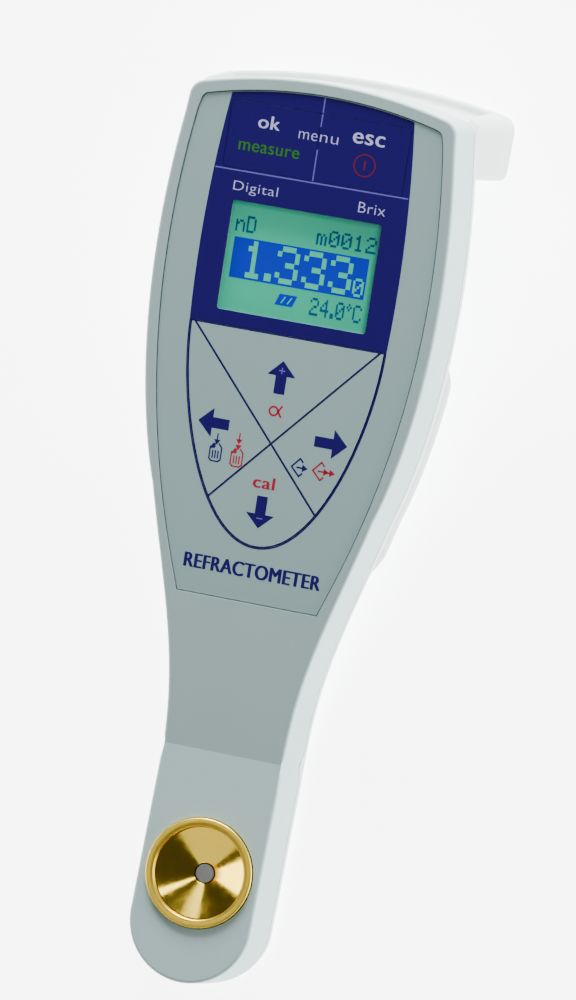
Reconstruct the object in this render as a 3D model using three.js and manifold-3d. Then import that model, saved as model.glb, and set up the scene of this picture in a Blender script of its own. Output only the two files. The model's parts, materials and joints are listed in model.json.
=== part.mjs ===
// Hand-held digital refractometer, lying on its back.
// Millimetres, +Z up. +Y points from the sample cell to the display end, +X to the right.
// The display half ("head") is tilted up about the crease line where it meets the cell half.
// Inside each half, depth is measured down from that half's front face.

import * as THREE from 'three';
import { mergeVertices } from 'three/addons/utils/BufferGeometryUtils.js';
import Module from 'manifold-3d';

const wasm = await Module();
wasm.setup();

// ---------------------------------------------------------------- driving dimensions

const GAP = 0.3; // clearance between touching pieces
const TILT = THREE.MathUtils.degToRad(8.5); // head face against cell face
const SLAB = 17.2; // case thickness, front face to back face
const PARTING = 12.6; // depth of the joint between the two shells
const WALL = 2.4; // shell side walls
const FRONT_WALL = 2.6; // front shell, under its face
const BACK_WALL = 2.2; // rear shell, under its back
const FLARE = 0.14; // side walls widen by this much per mm of depth
const FACE_ROUND = 0.8; // edge radius of the front face
const FACE_GROW = 0.35; // outline beyond the nominal face edge, once the edge radius is full
const BACK_ROUND = 3.2; // edge radius of the back

const CELL_HALF = 15.65; // half width of the cell half
const TIP_CENTRE = -42.8; // centre of the round tip
const CREASE_LAP = 2.6; // how far the cell half runs on under the head

// Side of the head face: two Bezier curves from the crease to the top corner.
const WAIST = [[CELL_HALF, 0], [15.8, 24], [22.5, 40], [28.9, 64.7]];
const FLANK = [[28.9, 64.7], [29.3, 66.1], [43.1, 102], [34.6, 161.5]];
const TOP_V = 170.7; // top of the head on the centre line
const TOP_RADIUS = 123.6;
const CORNER_ROUND = 3.9;

const OVERLAY_SIDE = [[18.5, 39.1], [23.4, 53.4], [41.7, 97.9], [31.4, 163.3]];
const OVERLAY_TOP_V = 167.6;
const OVERLAY_TOP_RADIUS = 119;
const OVERLAY_ROUND = 2;
const OVERLAY_SINK = 0.3; // overlay surface below the front face
const OVERLAY_THICK = 0.9;
const RECESS_DEPTH = 1.5; // floor under overlay and keys

const WINDOW = { halfWidth: 19.7, low: 110.8, high: 138.5, round: 0.8 };
const LCD = { halfWidth: 23, low: 107.6, high: 141.8, top: 2.2, thick: 1.6 };
const BACKLIGHT_THICK = 0.8;

const TOP_KEYS = { halfWidth: 23.6, low: 146.2, high: 163.4, round: 1 };
const CROSS = { v: 79.6, top: 107.1, slope: 1.118 }; // crossing lines between the arrow keys
const SHIELD_SIDE = [[0, 53.1], [15.5, 53.1], [25.4, 86], [25.6, CROSS.top]];
const KEY_THICK = 0.6;
const KEY_SPLIT = 0.35;
const STEM_RADIUS = 2;
const STEM_END = 3.9;
const STEM_CLEARANCE = 0.6; // round the stems, in the front shell
const DOME = { radius: 3, top: 4.4, height: 0.5, skin: 0.12 };
const KEY_CENTRES = {
  key_ok: [-12, 155],
  key_esc: [12, 155],
  key_up: [0, 94],
  key_left: [-13.5, 80],
  key_right: [13.5, 80],
  key_down: [0, 64],
};

const BOARD = { top: 5.3, thick: 1.2 };
const CHIP = { size: 9, thick: 1.2, v: 104 };
const SOUNDER = { radius: 6, thick: 2.6, u: 18, v: 150 };

const BATTERY = { radius: 5.25, length: 43.5, nubRadius: 1.9, nubLength: 1, depth: 13.8 };
const BATTERY_V = [69.6, 80.8];
const TUB = { halfWidth: 24.8, low: 63.5, high: 86.9, top: 8.2, wall: 0.8 };
const HUMP = { low: 55.5, high: 99, depth: 21.2, round: 2.4, draft: 5 };
const DOOR = { halfWidth: 26.2, low: 60.6, high: 95.2, thick: 1.8, round: 2.5 };
const DOOR_SCREW = { v: 91.2, headRadius: 2.4, headThick: 1.1, shankRadius: 1.2, end: 12 };
const DOOR_SCREW_SINK = 0.05; // head below the door's face
const DOOR_BOSS = { radius: 3.2, top: 10.7 };
const CONTACT_THICK = 0.4;
const SPRING = { wire: 0.3, wide: 3.6, narrow: 1.8, length: 2.1, turns: 2.5 };

const CASE_SCREWS = [[-30.5, 141], [30.5, 141], [-17.5, 45], [17.5, 45]];
const CASE_SCREW = { headRadius: 2.4, headThick: 1.4, seat: 14.6, shankRadius: 1, end: 6 };
const BOSS_RADIUS = 3.5;
const SCREW_SLOT = { half: 0.35, deep: 0.6 };
const GASKET = { half: 0.7, width: 1.2 }; // half its height, and its width

// The foot is the deep lip at the display end. Its levels are heights above the table.
const FOOT = { out: 177, outLean: -0.21, in: 156.4, inLean: -0.146, half: 40.6, halfLean: -0.134 };
const FOOT_ROUND = 3;
const FOOT_WALL = 3.6;
const FOOT_TOP_RADIUS = 197;
const FOOT_CORNER = 4.2;
const FOOT_HEIGHT = 32;
const FOOT_FILLET = 5;
const FILLET_LENGTH = 70;
const SCOOP = { halfWidth: 34, low: 7, high: 28.2, depth: 1.5 };

const CELL_Y = -30.7; // centre of the sample cell
const DISH = { radius: 13.95, lip: 1, mouth: 11.7, floorRadius: 2.7, floor: -5.2, skirt: -2.9 };
const DISH_SLEEVE = { depth: 2.4, wall: 1.6 }; // the collar below the dish, round the prism
const PRISM = { radius: 2.4, top: -5.3, shoulder: -6.6, bottom: -9.4, thick: 2.4 };
const SEAL = { overhang: 1.4, thick: 0.9 };
const OPTICS = { width: 17, length: 27, top: -9.9, bottom: -14.7, channel: 9, wall: 1.5 };
const OPTICAL_AXIS = OPTICS.bottom + 3.2;
const LAMP = { radius: 1.5, length: 3, flange: 0.3, flangeThick: 0.7 };
const LENS = { radius: 1.7, bulge: 1, y: CELL_Y - 5.2 };
const LINE_SENSOR = { half: 3.8, thick: 1.2, height: 3, fromEnd: 3.4, lift: 1.3 };
const SENSOR_BOARD = { half: 8, thick: 1 };
const THERMOMETER = { x: 7.2, radius: 1, top: -6.9, bottom: -9.6 };
const RIBBON = { width: 7, thick: 0.25, depth: -12.2 };

// ---------------------------------------------------------------- geometry helpers

function stripped(geometry) {
  const bare = geometry.index ? geometry.clone() : geometry;
  bare.deleteAttribute('normal');
  bare.deleteAttribute('uv');
  return mergeVertices(bare, 1e-5);
}

function toSolid(geometry) {
  const merged = stripped(geometry);
  return new wasm.Manifold(new wasm.Mesh({
    numProp: 3,
    vertProperties: new Float32Array(merged.attributes.position.array),
    triVerts: new Uint32Array(merged.index.array),
  }));
}

function toGeometry(solid) {
  const mesh = solid.getMesh();
  const geometry = new THREE.BufferGeometry();
  geometry.setAttribute('position', new THREE.BufferAttribute(mesh.vertProperties, 3));
  geometry.setIndex(new THREE.BufferAttribute(mesh.triVerts, 1));
  geometry.computeVertexNormals();
  return geometry;
}

function box(x0, x1, y0, y1, z0, z1) {
  const geometry = new THREE.BoxGeometry(x1 - x0, y1 - y0, z1 - z0);
  return geometry.translate((x0 + x1) / 2, (y0 + y1) / 2, (z0 + z1) / 2);
}

// A cylinder standing along Z, centred on x, y.
function post(x, y, radius, z0, z1, sides = 12) {
  const geometry = new THREE.CylinderGeometry(radius, radius, z1 - z0, sides);
  return geometry.rotateX(Math.PI / 2).translate(x, y, (z0 + z1) / 2);
}

// A body of revolution about Z from [radius, height] pairs.
function turned(profile, sides) {
  const points = profile.map(([radius, height]) => new THREE.Vector2(radius, height));
  if (THREE.ShapeUtils.area(points) < 0) points.reverse();
  return new THREE.LatheGeometry(points, sides).rotateX(Math.PI / 2);
}

// A flat plate from a shape in X and Y, between two heights.
function plate(shape, z0, z1) {
  const settings = { depth: z1 - z0, bevelEnabled: false };
  return new THREE.ExtrudeGeometry(shape, settings).translate(0, 0, z0);
}

// A bar along X, centred, from its profile in Y and Z.
function crossBar(profile, width) {
  const geometry = new THREE.ExtrudeGeometry(profile, { depth: width, bevelEnabled: false });
  geometry.applyMatrix4(new THREE.Matrix4().makeBasis(
    new THREE.Vector3(0, 1, 0), new THREE.Vector3(0, 0, 1), new THREE.Vector3(1, 0, 0),
  ));
  return geometry.translate(-width / 2, 0, 0);
}

// A solid through rings of equal count, each in a plane of constant height.
function loft(levels) {
  const rings = levels[0][0].z > levels.at(-1)[0].z ? levels : [...levels].reverse();
  const count = rings[0].length;
  const positions = rings.flat().flatMap((point) => [point.x, point.y, point.z]);
  const index = [];
  for (let level = 0; level + 1 < rings.length; level += 1) {
    for (let i = 0; i < count; i += 1) {
      const a = level * count + i;
      const b = level * count + (i + 1) % count;
      index.push(a, a + count, b, b, a + count, b + count);
    }
  }
  const last = (rings.length - 1) * count;
  const cap = (ring) => THREE.ShapeUtils.triangulateShape(ring, []);
  cap(rings[0]).forEach(([a, b, c]) => index.push(a, b, c));
  cap(rings.at(-1)).forEach(([a, b, c]) => index.push(last + c, last + b, last + a));
  const geometry = new THREE.BufferGeometry();
  geometry.setAttribute('position', new THREE.Float32BufferAttribute(positions, 3));
  geometry.setIndex(index);
  return geometry;
}

function bezierPoints(controls, segments) {
  const [a, b, c, d] = controls.map(([x, y]) => new THREE.Vector2(x, y));
  return new THREE.CubicBezierCurve(a, b, c, d).getPoints(segments);
}

function mirrored(points) {
  return points.map((point) => new THREE.Vector2(-point.x, point.y)).reverse();
}

// The points of an arc about x, y, from one angle to another.
function arcPoints(x, y, radius, from, to, segments) {
  const points = [];
  for (let i = 0; i <= segments; i += 1) {
    const angle = from + (to - from) * (i / segments);
    points.push(new THREE.Vector2(x + radius * Math.cos(angle), y + radius * Math.sin(angle)));
  }
  return points;
}

function shapeOf(points) {
  return new THREE.Shape(points);
}

// Rectangle with round corners, as a closed list of points.
function roundRectangle(x0, x1, y0, y1, radius, segments = 3) {
  const quarter = Math.PI / 2;
  return [
    ...arcPoints(x1 - radius, y0 + radius, radius, -quarter, 0, segments),
    ...arcPoints(x1 - radius, y1 - radius, radius, 0, quarter, segments),
    ...arcPoints(x0 + radius, y1 - radius, radius, quarter, 2 * quarter, segments),
    ...arcPoints(x0 + radius, y0 + radius, radius, 2 * quarter, 3 * quarter, segments),
  ];
}

// ---------------------------------------------------------------- outlines of the case

// Right half of a tapered outline: a side curve, a round corner, then half of the top arc.
function sideCornerTop(side, topV, topRadius, round, cornerSegments, topSegments) {
  const corner = side.at(-1);
  const topCentre = topV - topRadius;
  const cornerX = corner.x - round;
  const cornerY = topCentre + Math.sqrt((topRadius - round) ** 2 - cornerX ** 2);
  const lean = Math.atan2(cornerY - topCentre, cornerX);
  const rounded = arcPoints(cornerX, cornerY, round, 0, lean, cornerSegments);
  const top = arcPoints(0, topCentre, topRadius, lean, Math.PI / 2, topSegments);
  return [...side.slice(0, -1), ...rounded, ...top.slice(1, -1)];
}

const headSide = [...bezierPoints(WAIST, 6), ...bezierPoints(FLANK, 8).slice(1)];
const headRight = sideCornerTop(headSide, TOP_V, TOP_RADIUS, CORNER_ROUND, 3, 5);
const headOutline = [...headRight, new THREE.Vector2(0, TOP_V), ...mirrored(headRight)];

// Moves a point of the closed outline inwards, square to its neighbours' chord.
function insetPoint(points, i, inset) {
  const before = points[(i + points.length - 1) % points.length];
  const after = points[(i + 1) % points.length];
  const along = after.clone().sub(before).normalize();
  return new THREE.Vector2(points[i].x - along.y * inset, points[i].y + along.x * inset);
}

// Head outline at a depth: flared sideways, then drawn in by inset. Its foot stays on the crease.
function headRing(depth, inset) {
  const reach = headSide.at(-1).x;
  const wide = headOutline.map((point) => {
    const share = point.y > headSide.at(-1).y ? point.x / reach : Math.sign(point.x);
    return new THREE.Vector2(point.x + share * FLARE * depth, point.y);
  });
  return wide.map((point, i) => {
    const onCrease = point.y === 0;
    const moved = insetPoint(wide, i, inset);
    const x = onCrease ? point.x - Math.sign(point.x) * inset : moved.x;
    return new THREE.Vector3(x, onCrease ? 0 : moved.y, -depth);
  });
}

// Outline of the cell half at a depth: straight sides and a round tip, wider when deeper.
function cellRing(depth, inset) {
  const half = CELL_HALF - inset + FLARE * depth;
  const lap = half - 0.1;
  const tip = arcPoints(0, 0, 1, Math.PI, 2 * Math.PI, 16).map((point) => (
    [half * point.x, TIP_CENTRE + (CELL_HALF - inset) * point.y]
  ));
  const points = [[lap, CREASE_LAP], [-lap, CREASE_LAP], [-half, 0], ...tip, [half, 0]];
  return points.map(([x, y]) => new THREE.Vector3(x, y, -depth));
}

// Outline of the foot at a height above the table.
function footRing(height, inset) {
  const out = FOOT.out + FOOT.outLean * height - inset;
  const inner = FOOT.in + FOOT.inLean * height + inset;
  const half = FOOT.half + FOOT.halfLean * height - inset;
  const round = Math.max(FOOT_CORNER - inset, 0.8);
  const side = [
    ...arcPoints(half - 2, inner + 2, 2, -Math.PI / 2, 0, 2),
    new THREE.Vector2(half, out - 9),
  ];
  const right = sideCornerTop(side, out, FOOT_TOP_RADIUS, round, 3, 5);
  const points = [...right, new THREE.Vector2(0, out), ...mirrored(right)];
  return points.map((point) => new THREE.Vector3(point.x, point.y, height));
}

// Depth and inset pairs round a quarter circle, for the edge of a face.
function edgeRound(radius, steps) {
  const pairs = [];
  for (let i = 0; i <= steps; i += 1) {
    const angle = (Math.PI / 2) * (i / steps);
    pairs.push([radius * (1 - Math.cos(angle)), radius * (1 - Math.sin(angle))]);
  }
  return pairs;
}

// ---------------------------------------------------------------- the two frames

const crease = new THREE.Matrix4().makeTranslation(0, 0, SLAB);
const headFrame = crease.clone().multiply(new THREE.Matrix4().makeRotationX(TILT));

function inHead(geometry) {
  return toSolid(geometry.clone().applyMatrix4(headFrame));
}

function inCell(geometry) {
  return toSolid(geometry.clone().applyMatrix4(crease));
}

// ---------------------------------------------------------------- shells

function caseHalves(ringLevels) {
  const head = inHead(loft(ringLevels.map(([depth, inset]) => headRing(depth, inset))));
  const cell = inCell(loft(ringLevels.map(([depth, inset]) => cellRing(depth, inset))));
  return head.add(cell);
}

function recessShape(grow) {
  const side = bezierPoints(OVERLAY_SIDE, 10);
  side.forEach((point) => point.setX(point.x + grow));
  const right = sideCornerTop(
    side, OVERLAY_TOP_V + grow, OVERLAY_TOP_RADIUS, OVERLAY_ROUND + grow, 2, 5,
  );
  right[0].setY(right[0].y - grow);
  return shapeOf([...right, new THREE.Vector2(0, OVERLAY_TOP_V + grow), ...mirrored(right)]);
}

function windowShape(grow) {
  return shapeOf(roundRectangle(
    -WINDOW.halfWidth - grow, WINDOW.halfWidth + grow, WINDOW.low - grow, WINDOW.high + grow,
    WINDOW.round,
  ));
}

function frontShell() {
  const outer = edgeRound(FACE_ROUND, 2).map(([depth, inset]) => [depth, inset - FACE_GROW]);
  outer.push([PARTING - GAP / 2, -FACE_GROW]);
  const inner = [[FRONT_WALL, WALL - FACE_GROW], [PARTING + 1, WALL - FACE_GROW]];
  let shell = caseHalves(outer).subtract(caseHalves(inner));
  for (const [u, v] of CASE_SCREWS) {
    shell = shell.add(inHead(post(u, v, BOSS_RADIUS, -PARTING + GAP / 2, -FRONT_WALL + 0.5)));
    const drill = post(u, v, CASE_SCREW.shankRadius + GAP, -PARTING - 1, -CASE_SCREW.end + 0.5);
    shell = shell.subtract(inHead(drill));
  }
  shell = shell.subtract(inHead(plate(recessShape(GAP), -RECESS_DEPTH, 1)));
  shell = shell.subtract(inHead(plate(windowShape(0), -FRONT_WALL - 1, 0)));
  const pocket = box(
    -LCD.halfWidth - GAP, LCD.halfWidth + GAP, LCD.low - GAP, LCD.high + GAP,
    -FRONT_WALL - 1, -LCD.top + GAP,
  );
  shell = shell.subtract(inHead(pocket));
  for (const [u, v] of Object.values(KEY_CENTRES)) {
    shell = shell.subtract(inHead(post(u, v, STEM_RADIUS + STEM_CLEARANCE, -FRONT_WALL - 1, 0)));
  }
  const well = post(0, CELL_Y, DISH.radius + 0.2, -FRONT_WALL - 1, 1, 40);
  return shell.subtract(inCell(well));
}

// The foot block, trimmed flat where it meets the front shell.
function footBlock(inset, floor) {
  const rounded = edgeRound(FOOT_ROUND, 3).map(([height, draw]) => [floor + height, draw]);
  const levels = [...rounded, [FOOT_HEIGHT, 0]];
  const rings = levels.map(([height, draw]) => footRing(height, inset + draw));
  const ahead = box(-60, 60, 100, 200, -PARTING - GAP / 2, 20);
  return toSolid(loft(rings)).subtract(inHead(ahead));
}

// Concave fillet where the foot stands off the back, as a bar across the case.
function footFillet() {
  const back = -SLAB;
  const v = FOOT.in + FOOT.inLean * (SLAB + 6) - SLAB * Math.sin(TILT) + 1.2;
  const curve = arcPoints(
    v - FOOT_FILLET, back - FOOT_FILLET, FOOT_FILLET, Math.PI / 2, 0, 5,
  );
  const corner = [new THREE.Vector2(v + 2, back - FOOT_FILLET), new THREE.Vector2(v + 2, back + 1)];
  const profile = shapeOf([...curve, ...corner, new THREE.Vector2(v - FOOT_FILLET, back + 1)]);
  return inHead(crossBar(profile, FILLET_LENGTH));
}

// Swelling of the back over the batteries, from side to side, with sloping ends.
function humpBlock() {
  const sides = edgeRound(HUMP.round, 2).map(([rise, inset]) => (
    headRing(HUMP.depth - rise, inset - FACE_GROW)
  ));
  const across = (depth, spread) => roundRectangle(
    -50, 50, HUMP.low - spread, HUMP.high + spread, 1, 1,
  ).map((point) => new THREE.Vector3(point.x, point.y, -depth));
  const ends = [across(HUMP.depth, 0), across(SLAB - 1, HUMP.draft)];
  const swelling = inHead(loft([...sides, headRing(SLAB - 2, -FACE_GROW)]));
  return swelling.intersect(inHead(loft(ends)));
}

// Battery well: walls and floor inside, the well itself, the door's seat and its screw hole.
function withBatteryWell(shell) {
  const { halfWidth, low, high, top, wall } = TUB;
  const boss = post(0, DOOR_SCREW.v, DOOR_BOSS.radius, -SLAB + 1, -DOOR_BOSS.top);
  const outer = box(
    -halfWidth - wall, halfWidth + wall, low - wall, high + wall, -SLAB + 1, -top + wall,
  );
  const seat = plate(
    shapeOf(roundRectangle(
      -DOOR.halfWidth - GAP, DOOR.halfWidth + GAP, DOOR.low - GAP, DOOR.high + GAP,
      DOOR.round + GAP,
    )),
    -HUMP.depth - 1, -HUMP.depth + DOOR.thick + GAP,
  );
  const drill = post(
    0, DOOR_SCREW.v, DOOR_SCREW.shankRadius + GAP, -HUMP.depth, -DOOR_SCREW.end + 0.5,
  );
  return shell
    .add(inHead(outer))
    .add(inHead(boss))
    .subtract(inHead(box(-halfWidth, halfWidth, low, high, -HUMP.depth - 1, -top)))
    .subtract(inHead(seat))
    .subtract(inHead(drill));
}

function rearShell() {
  const outer = edgeRound(BACK_ROUND, 3).map(([rise, inset]) => [SLAB - rise, inset - FACE_GROW]);
  outer.push([PARTING + GAP / 2, -FACE_GROW]);
  const inner = [[SLAB - BACK_WALL, WALL - FACE_GROW], [PARTING - 1, WALL - FACE_GROW]];
  let shell = caseHalves(outer).add(footBlock(0, 0)).add(humpBlock()).add(footFillet());
  const scoopBox = toSolid(box(
    -SCOOP.halfWidth, SCOOP.halfWidth, FOOT.out - 20, FOOT.out + 10, SCOOP.low, SCOOP.high,
  ));
  shell = shell.subtract(scoopBox.subtract(toSolid(loft([
    footRing(0, SCOOP.depth), footRing(FOOT_HEIGHT, SCOOP.depth),
  ]))));
  shell = shell.subtract(caseHalves(inner)).subtract(footBlock(FOOT_WALL, BACK_WALL));
  for (const [u, v] of CASE_SCREWS) {
    const boss = post(u, v, BOSS_RADIUS, -SLAB + 1, -PARTING - GAP / 2);
    const counterbore = post(u, v, CASE_SCREW.headRadius + GAP, -SLAB - 1, -CASE_SCREW.seat);
    const drill = post(u, v, CASE_SCREW.shankRadius + GAP, -SLAB, -PARTING + 1);
    shell = shell.add(inHead(boss)).subtract(inHead(counterbore)).subtract(inHead(drill));
  }
  return withBatteryWell(shell);
}

// Sealing ring between the shells, just inside the walls.
function caseGasket() {
  const ring = (inset, reach) => caseHalves([
    [PARTING + reach, inset - FACE_GROW], [PARTING - reach, inset - FACE_GROW],
  ]);
  const outside = ring(WALL + GAP, GASKET.half);
  return outside.subtract(ring(WALL + GAP + GASKET.width, GASKET.half + 1));
}

// ---------------------------------------------------------------- overlay and keys

function shieldPoints(shrink) {
  const right = bezierPoints(SHIELD_SIDE, 8).map((point, i, all) => {
    const next = all[Math.min(i + 1, all.length - 1)];
    const prior = all[Math.max(i - 1, 0)];
    const along = next.clone().sub(prior).normalize();
    return new THREE.Vector2(point.x - along.y * shrink, point.y + along.x * shrink);
  });
  right[0].setX(0);
  right.at(-1).setY(CROSS.top - shrink);
  return [...right, ...mirrored(right).slice(0, -1)];
}

function keypadOverlay() {
  const shape = recessShape(0);
  const { halfWidth, low, high, round } = TOP_KEYS;
  shape.holes.push(new THREE.Path(roundRectangle(-halfWidth, halfWidth, low, high, round)));
  shape.holes.push(new THREE.Path(windowShape(0).getPoints()));
  shape.holes.push(new THREE.Path(shieldPoints(0)));
  return plate(shape, -OVERLAY_SINK - OVERLAY_THICK, -OVERLAY_SINK);
}

function topKeyBlank(side) {
  const { halfWidth, low, high, round } = TOP_KEYS;
  const split = KEY_SPLIT / 2;
  const x0 = side > 0 ? split : -halfWidth + KEY_SPLIT;
  const x1 = side > 0 ? halfWidth - KEY_SPLIT : -split;
  const points = roundRectangle(x0, x1, low + KEY_SPLIT, high - KEY_SPLIT, round * 0.6);
  return toSolid(plate(shapeOf(points), -OVERLAY_SINK - KEY_THICK, -OVERLAY_SINK));
}

// One of the four fields between the crossing lines, picked by the direction it lies in.
function arrowKeyBlank(directionU, directionV) {
  const blank = toSolid(plate(
    shapeOf(shieldPoints(KEY_SPLIT)), -OVERLAY_SINK - KEY_THICK, -OVERLAY_SINK,
  ));
  const across = new THREE.Vector2(1, CROSS.slope).multiplyScalar(60);
  const wedge = directionV === 0
    ? [[0, 0], [directionU * across.x, -across.y], [directionU * across.x, across.y]]
    : [[0, 0], [across.x, directionV * across.y], [-across.x, directionV * across.y]];
  const points = wedge.map(([x, y]) => new THREE.Vector2(x, CROSS.v + y));
  const field = blank.intersect(toSolid(plate(shapeOf(points), -5, 5)));
  const bar = (angle) => toSolid(
    box(-60, 60, -KEY_SPLIT / 2, KEY_SPLIT / 2, -5, 5).rotateZ(angle).translate(0, CROSS.v, 0),
  );
  const angle = Math.atan(CROSS.slope);
  return field.subtract(bar(angle)).subtract(bar(-angle));
}

function withStem(blank, [u, v]) {
  return blank.add(toSolid(post(u, v, STEM_RADIUS, -STEM_END, -OVERLAY_SINK - 0.2, 16)));
}

function keySolids() {
  const blanks = {
    key_ok: topKeyBlank(-1),
    key_esc: topKeyBlank(1),
    key_up: arrowKeyBlank(0, 1),
    key_left: arrowKeyBlank(-1, 0),
    key_right: arrowKeyBlank(1, 0),
    key_down: arrowKeyBlank(0, -1),
  };
  const entries = Object.entries(blanks).map(([name, blank]) => (
    [name, toGeometry(withStem(blank, KEY_CENTRES[name]))]
  ));
  return Object.fromEntries(entries);
}

// Snap dome under a key: a thin sprung cap of sheet steel.
function switchDome(u, v) {
  const { radius, top, height, skin } = DOME;
  const cap = (share, drop) => [radius * share, -top - height * share ** 2 - drop];
  const outside = [0, 0.4, 0.7, 1].map((share) => cap(share, 0));
  const inside = [0.95, 0.65, 0.35, 0].map((share) => cap(share, skin));
  return turned([...outside, ...inside], 12).translate(u, v, 0);
}

// ---------------------------------------------------------------- electronics

function mainBoard() {
  const right = [[12, 46], [20, 78], [31.5, 112], [31.5, 134], [25, 136], [25, 158]];
  const points = right.map(([x, y]) => new THREE.Vector2(x, y));
  return plate(shapeOf([...points, ...mirrored(points)]), -BOARD.top - BOARD.thick, -BOARD.top);
}

function contactSpring(u, v) {
  class Coil extends THREE.Curve {
    getPoint(t, target = new THREE.Vector3()) {
      const angle = 2 * Math.PI * SPRING.turns * t;
      const radius = SPRING.wide + (SPRING.narrow - SPRING.wide) * t;
      return target.set(SPRING.length * t, radius * Math.cos(angle), radius * Math.sin(angle));
    }
  }
  const wire = shapeOf(arcPoints(0, 0, SPRING.wire, 0, 2 * Math.PI, 5).slice(0, -1));
  const settings = { steps: 26, extrudePath: new Coil(), bevelEnabled: false };
  const geometry = new THREE.ExtrudeGeometry(wire, settings);
  return geometry.rotateZ(u > 0 ? Math.PI : 0).translate(u, v, -BATTERY.depth);
}

// A cell lying across the case, its nub towards the given side.
function batteryCell(v, side) {
  const { radius, length, nubRadius, nubLength, depth } = BATTERY;
  const profile = [
    [0, 0], [radius - 0.5, 0], [radius, 0.5], [radius, length - 0.6], [radius - 0.6, length],
    [nubRadius, length], [nubRadius, length + nubLength], [0, length + nubLength],
  ];
  const start = TUB.halfWidth - 1 - length - nubLength;
  const lying = turned(profile, 24).rotateY(side * Math.PI / 2);
  return lying.translate(side * start, v, -depth);
}

// ---------------------------------------------------------------- battery door

function batteryDoor() {
  const { halfWidth, low, high, thick, round } = DOOR;
  const shape = shapeOf(roundRectangle(-halfWidth, halfWidth, low, high, round));
  const skin = toSolid(plate(shape, -HUMP.depth, -HUMP.depth + thick));
  const sunk = post(
    0, DOOR_SCREW.v, DOOR_SCREW.headRadius + GAP, -HUMP.depth - 1,
    -HUMP.depth + DOOR_SCREW.headThick + 0.1,
  );
  const hole = post(0, DOOR_SCREW.v, DOOR_SCREW.shankRadius + GAP, -HUMP.depth - 1, -HUMP.depth + 5);
  return skin.subtract(toSolid(sunk)).subtract(toSolid(hole));
}

function screw(u, v, { headRadius, headThick, shankRadius }, seat, end) {
  const profile = [
    [0, -seat - headThick], [headRadius, -seat - headThick], [headRadius, -seat],
    [shankRadius, -seat], [shankRadius, -end - 0.6], [shankRadius - 0.5, -end], [0, -end],
  ];
  const body = toSolid(turned(profile, 12));
  const face = -seat - headThick;
  const slot = box(
    -headRadius - 1, headRadius + 1, -SCREW_SLOT.half, SCREW_SLOT.half,
    face - 1, face + SCREW_SLOT.deep,
  );
  return toGeometry(body.subtract(toSolid(slot))).translate(u, v, 0);
}

// ---------------------------------------------------------------- sample cell and optics

function cellDish() {
  const { radius, lip, mouth, floorRadius, floor, skirt } = DISH;
  const under = floor - DISH_SLEEVE.depth;
  const crown = (radius + mouth) / 2;
  const rim = arcPoints(crown, 0, 1, 0, Math.PI, 5).map((point) => (
    [crown + (radius - crown) * (point.x - crown), lip * point.y]
  ));
  const profile = [
    [floorRadius, under], [floorRadius + DISH_SLEEVE.wall, under], [radius - 1.5, skirt - 0.8],
    [radius - 1.2, skirt], [radius, skirt], ...rim, [floorRadius, floor], [floorRadius, under],
  ];
  return turned(profile, 40).translate(0, CELL_Y, 0);
}

function prismSolid() {
  const { radius, top, shoulder, bottom } = PRISM;
  const head = toSolid(post(0, CELL_Y, radius, shoulder, top, 24));
  const half = radius - 0.6;
  const profile = shapeOf([
    new THREE.Vector2(-half, shoulder + 0.1), new THREE.Vector2(-half * 0.45, bottom),
    new THREE.Vector2(half * 0.45, bottom), new THREE.Vector2(half, shoulder + 0.1),
  ]);
  return head.add(toSolid(crossBar(profile, PRISM.thick).translate(0, CELL_Y, 0)));
}

// Seal that holds the prism in the bottom of the dish.
function prismSeal() {
  const outer = DISH.floorRadius + SEAL.overhang;
  const inner = PRISM.radius - 0.2;
  const top = DISH.floor - DISH_SLEEVE.depth - GAP;
  const low = top - SEAL.thick;
  const profile = [[inner, top], [outer, top], [outer, low], [inner, low], [inner, top]];
  return turned(profile, 24).translate(0, CELL_Y, 0);
}

function opticsBlock() {
  const { width, length, top, bottom, channel, wall } = OPTICS;
  const whole = box(
    -width / 2, width / 2, CELL_Y - length / 2, CELL_Y + length / 2, bottom, top,
  );
  const slot = box(
    -channel / 2, channel / 2, CELL_Y - length / 2 + wall, CELL_Y + length / 2 - wall,
    bottom + 1, top + 1,
  );
  return toSolid(whole).subtract(toSolid(slot));
}

// A lamp with a domed nose, pointing along +Y.
function lightSource() {
  const { radius, length, flange, flangeThick } = LAMP;
  const nose = arcPoints(0, length, radius, 0, Math.PI / 2, 4).map((point) => [point.x, point.y]);
  nose.at(-1)[0] = 0;
  const base = radius + flange;
  const profile = [[0, 0], [base, 0], [base, flangeThick], [radius, flangeThick], ...nose];
  const start = CELL_Y - OPTICS.length / 2 + OPTICS.wall + GAP;
  return turned(profile, 16).rotateX(-Math.PI / 2).translate(0, start, OPTICAL_AXIS);
}

function focusLens() {
  const { radius, bulge, y } = LENS;
  const face = (sign) => [0, 0.5, 0.85].map((share) => (
    [radius * share, sign * bulge * (1 - 0.6 * share ** 2)]
  ));
  const profile = [...face(-1), [radius, 0], ...face(1).reverse()];
  return turned(profile, 20).rotateX(-Math.PI / 2).translate(0, y, OPTICAL_AXIS);
}

function lineSensor() {
  const { half, thick, height, fromEnd, lift } = LINE_SENSOR;
  const y = CELL_Y + OPTICS.length / 2 - fromEnd;
  const z = OPTICS.bottom + lift;
  return box(-half, half, y, y + thick, z, z + height);
}

function sensorBoard() {
  const { half, thick } = SENSOR_BOARD;
  const y = CELL_Y + OPTICS.length / 2 + GAP;
  return box(-half, half, y, y + thick, OPTICS.bottom + 0.2, OPTICS.top);
}

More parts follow.
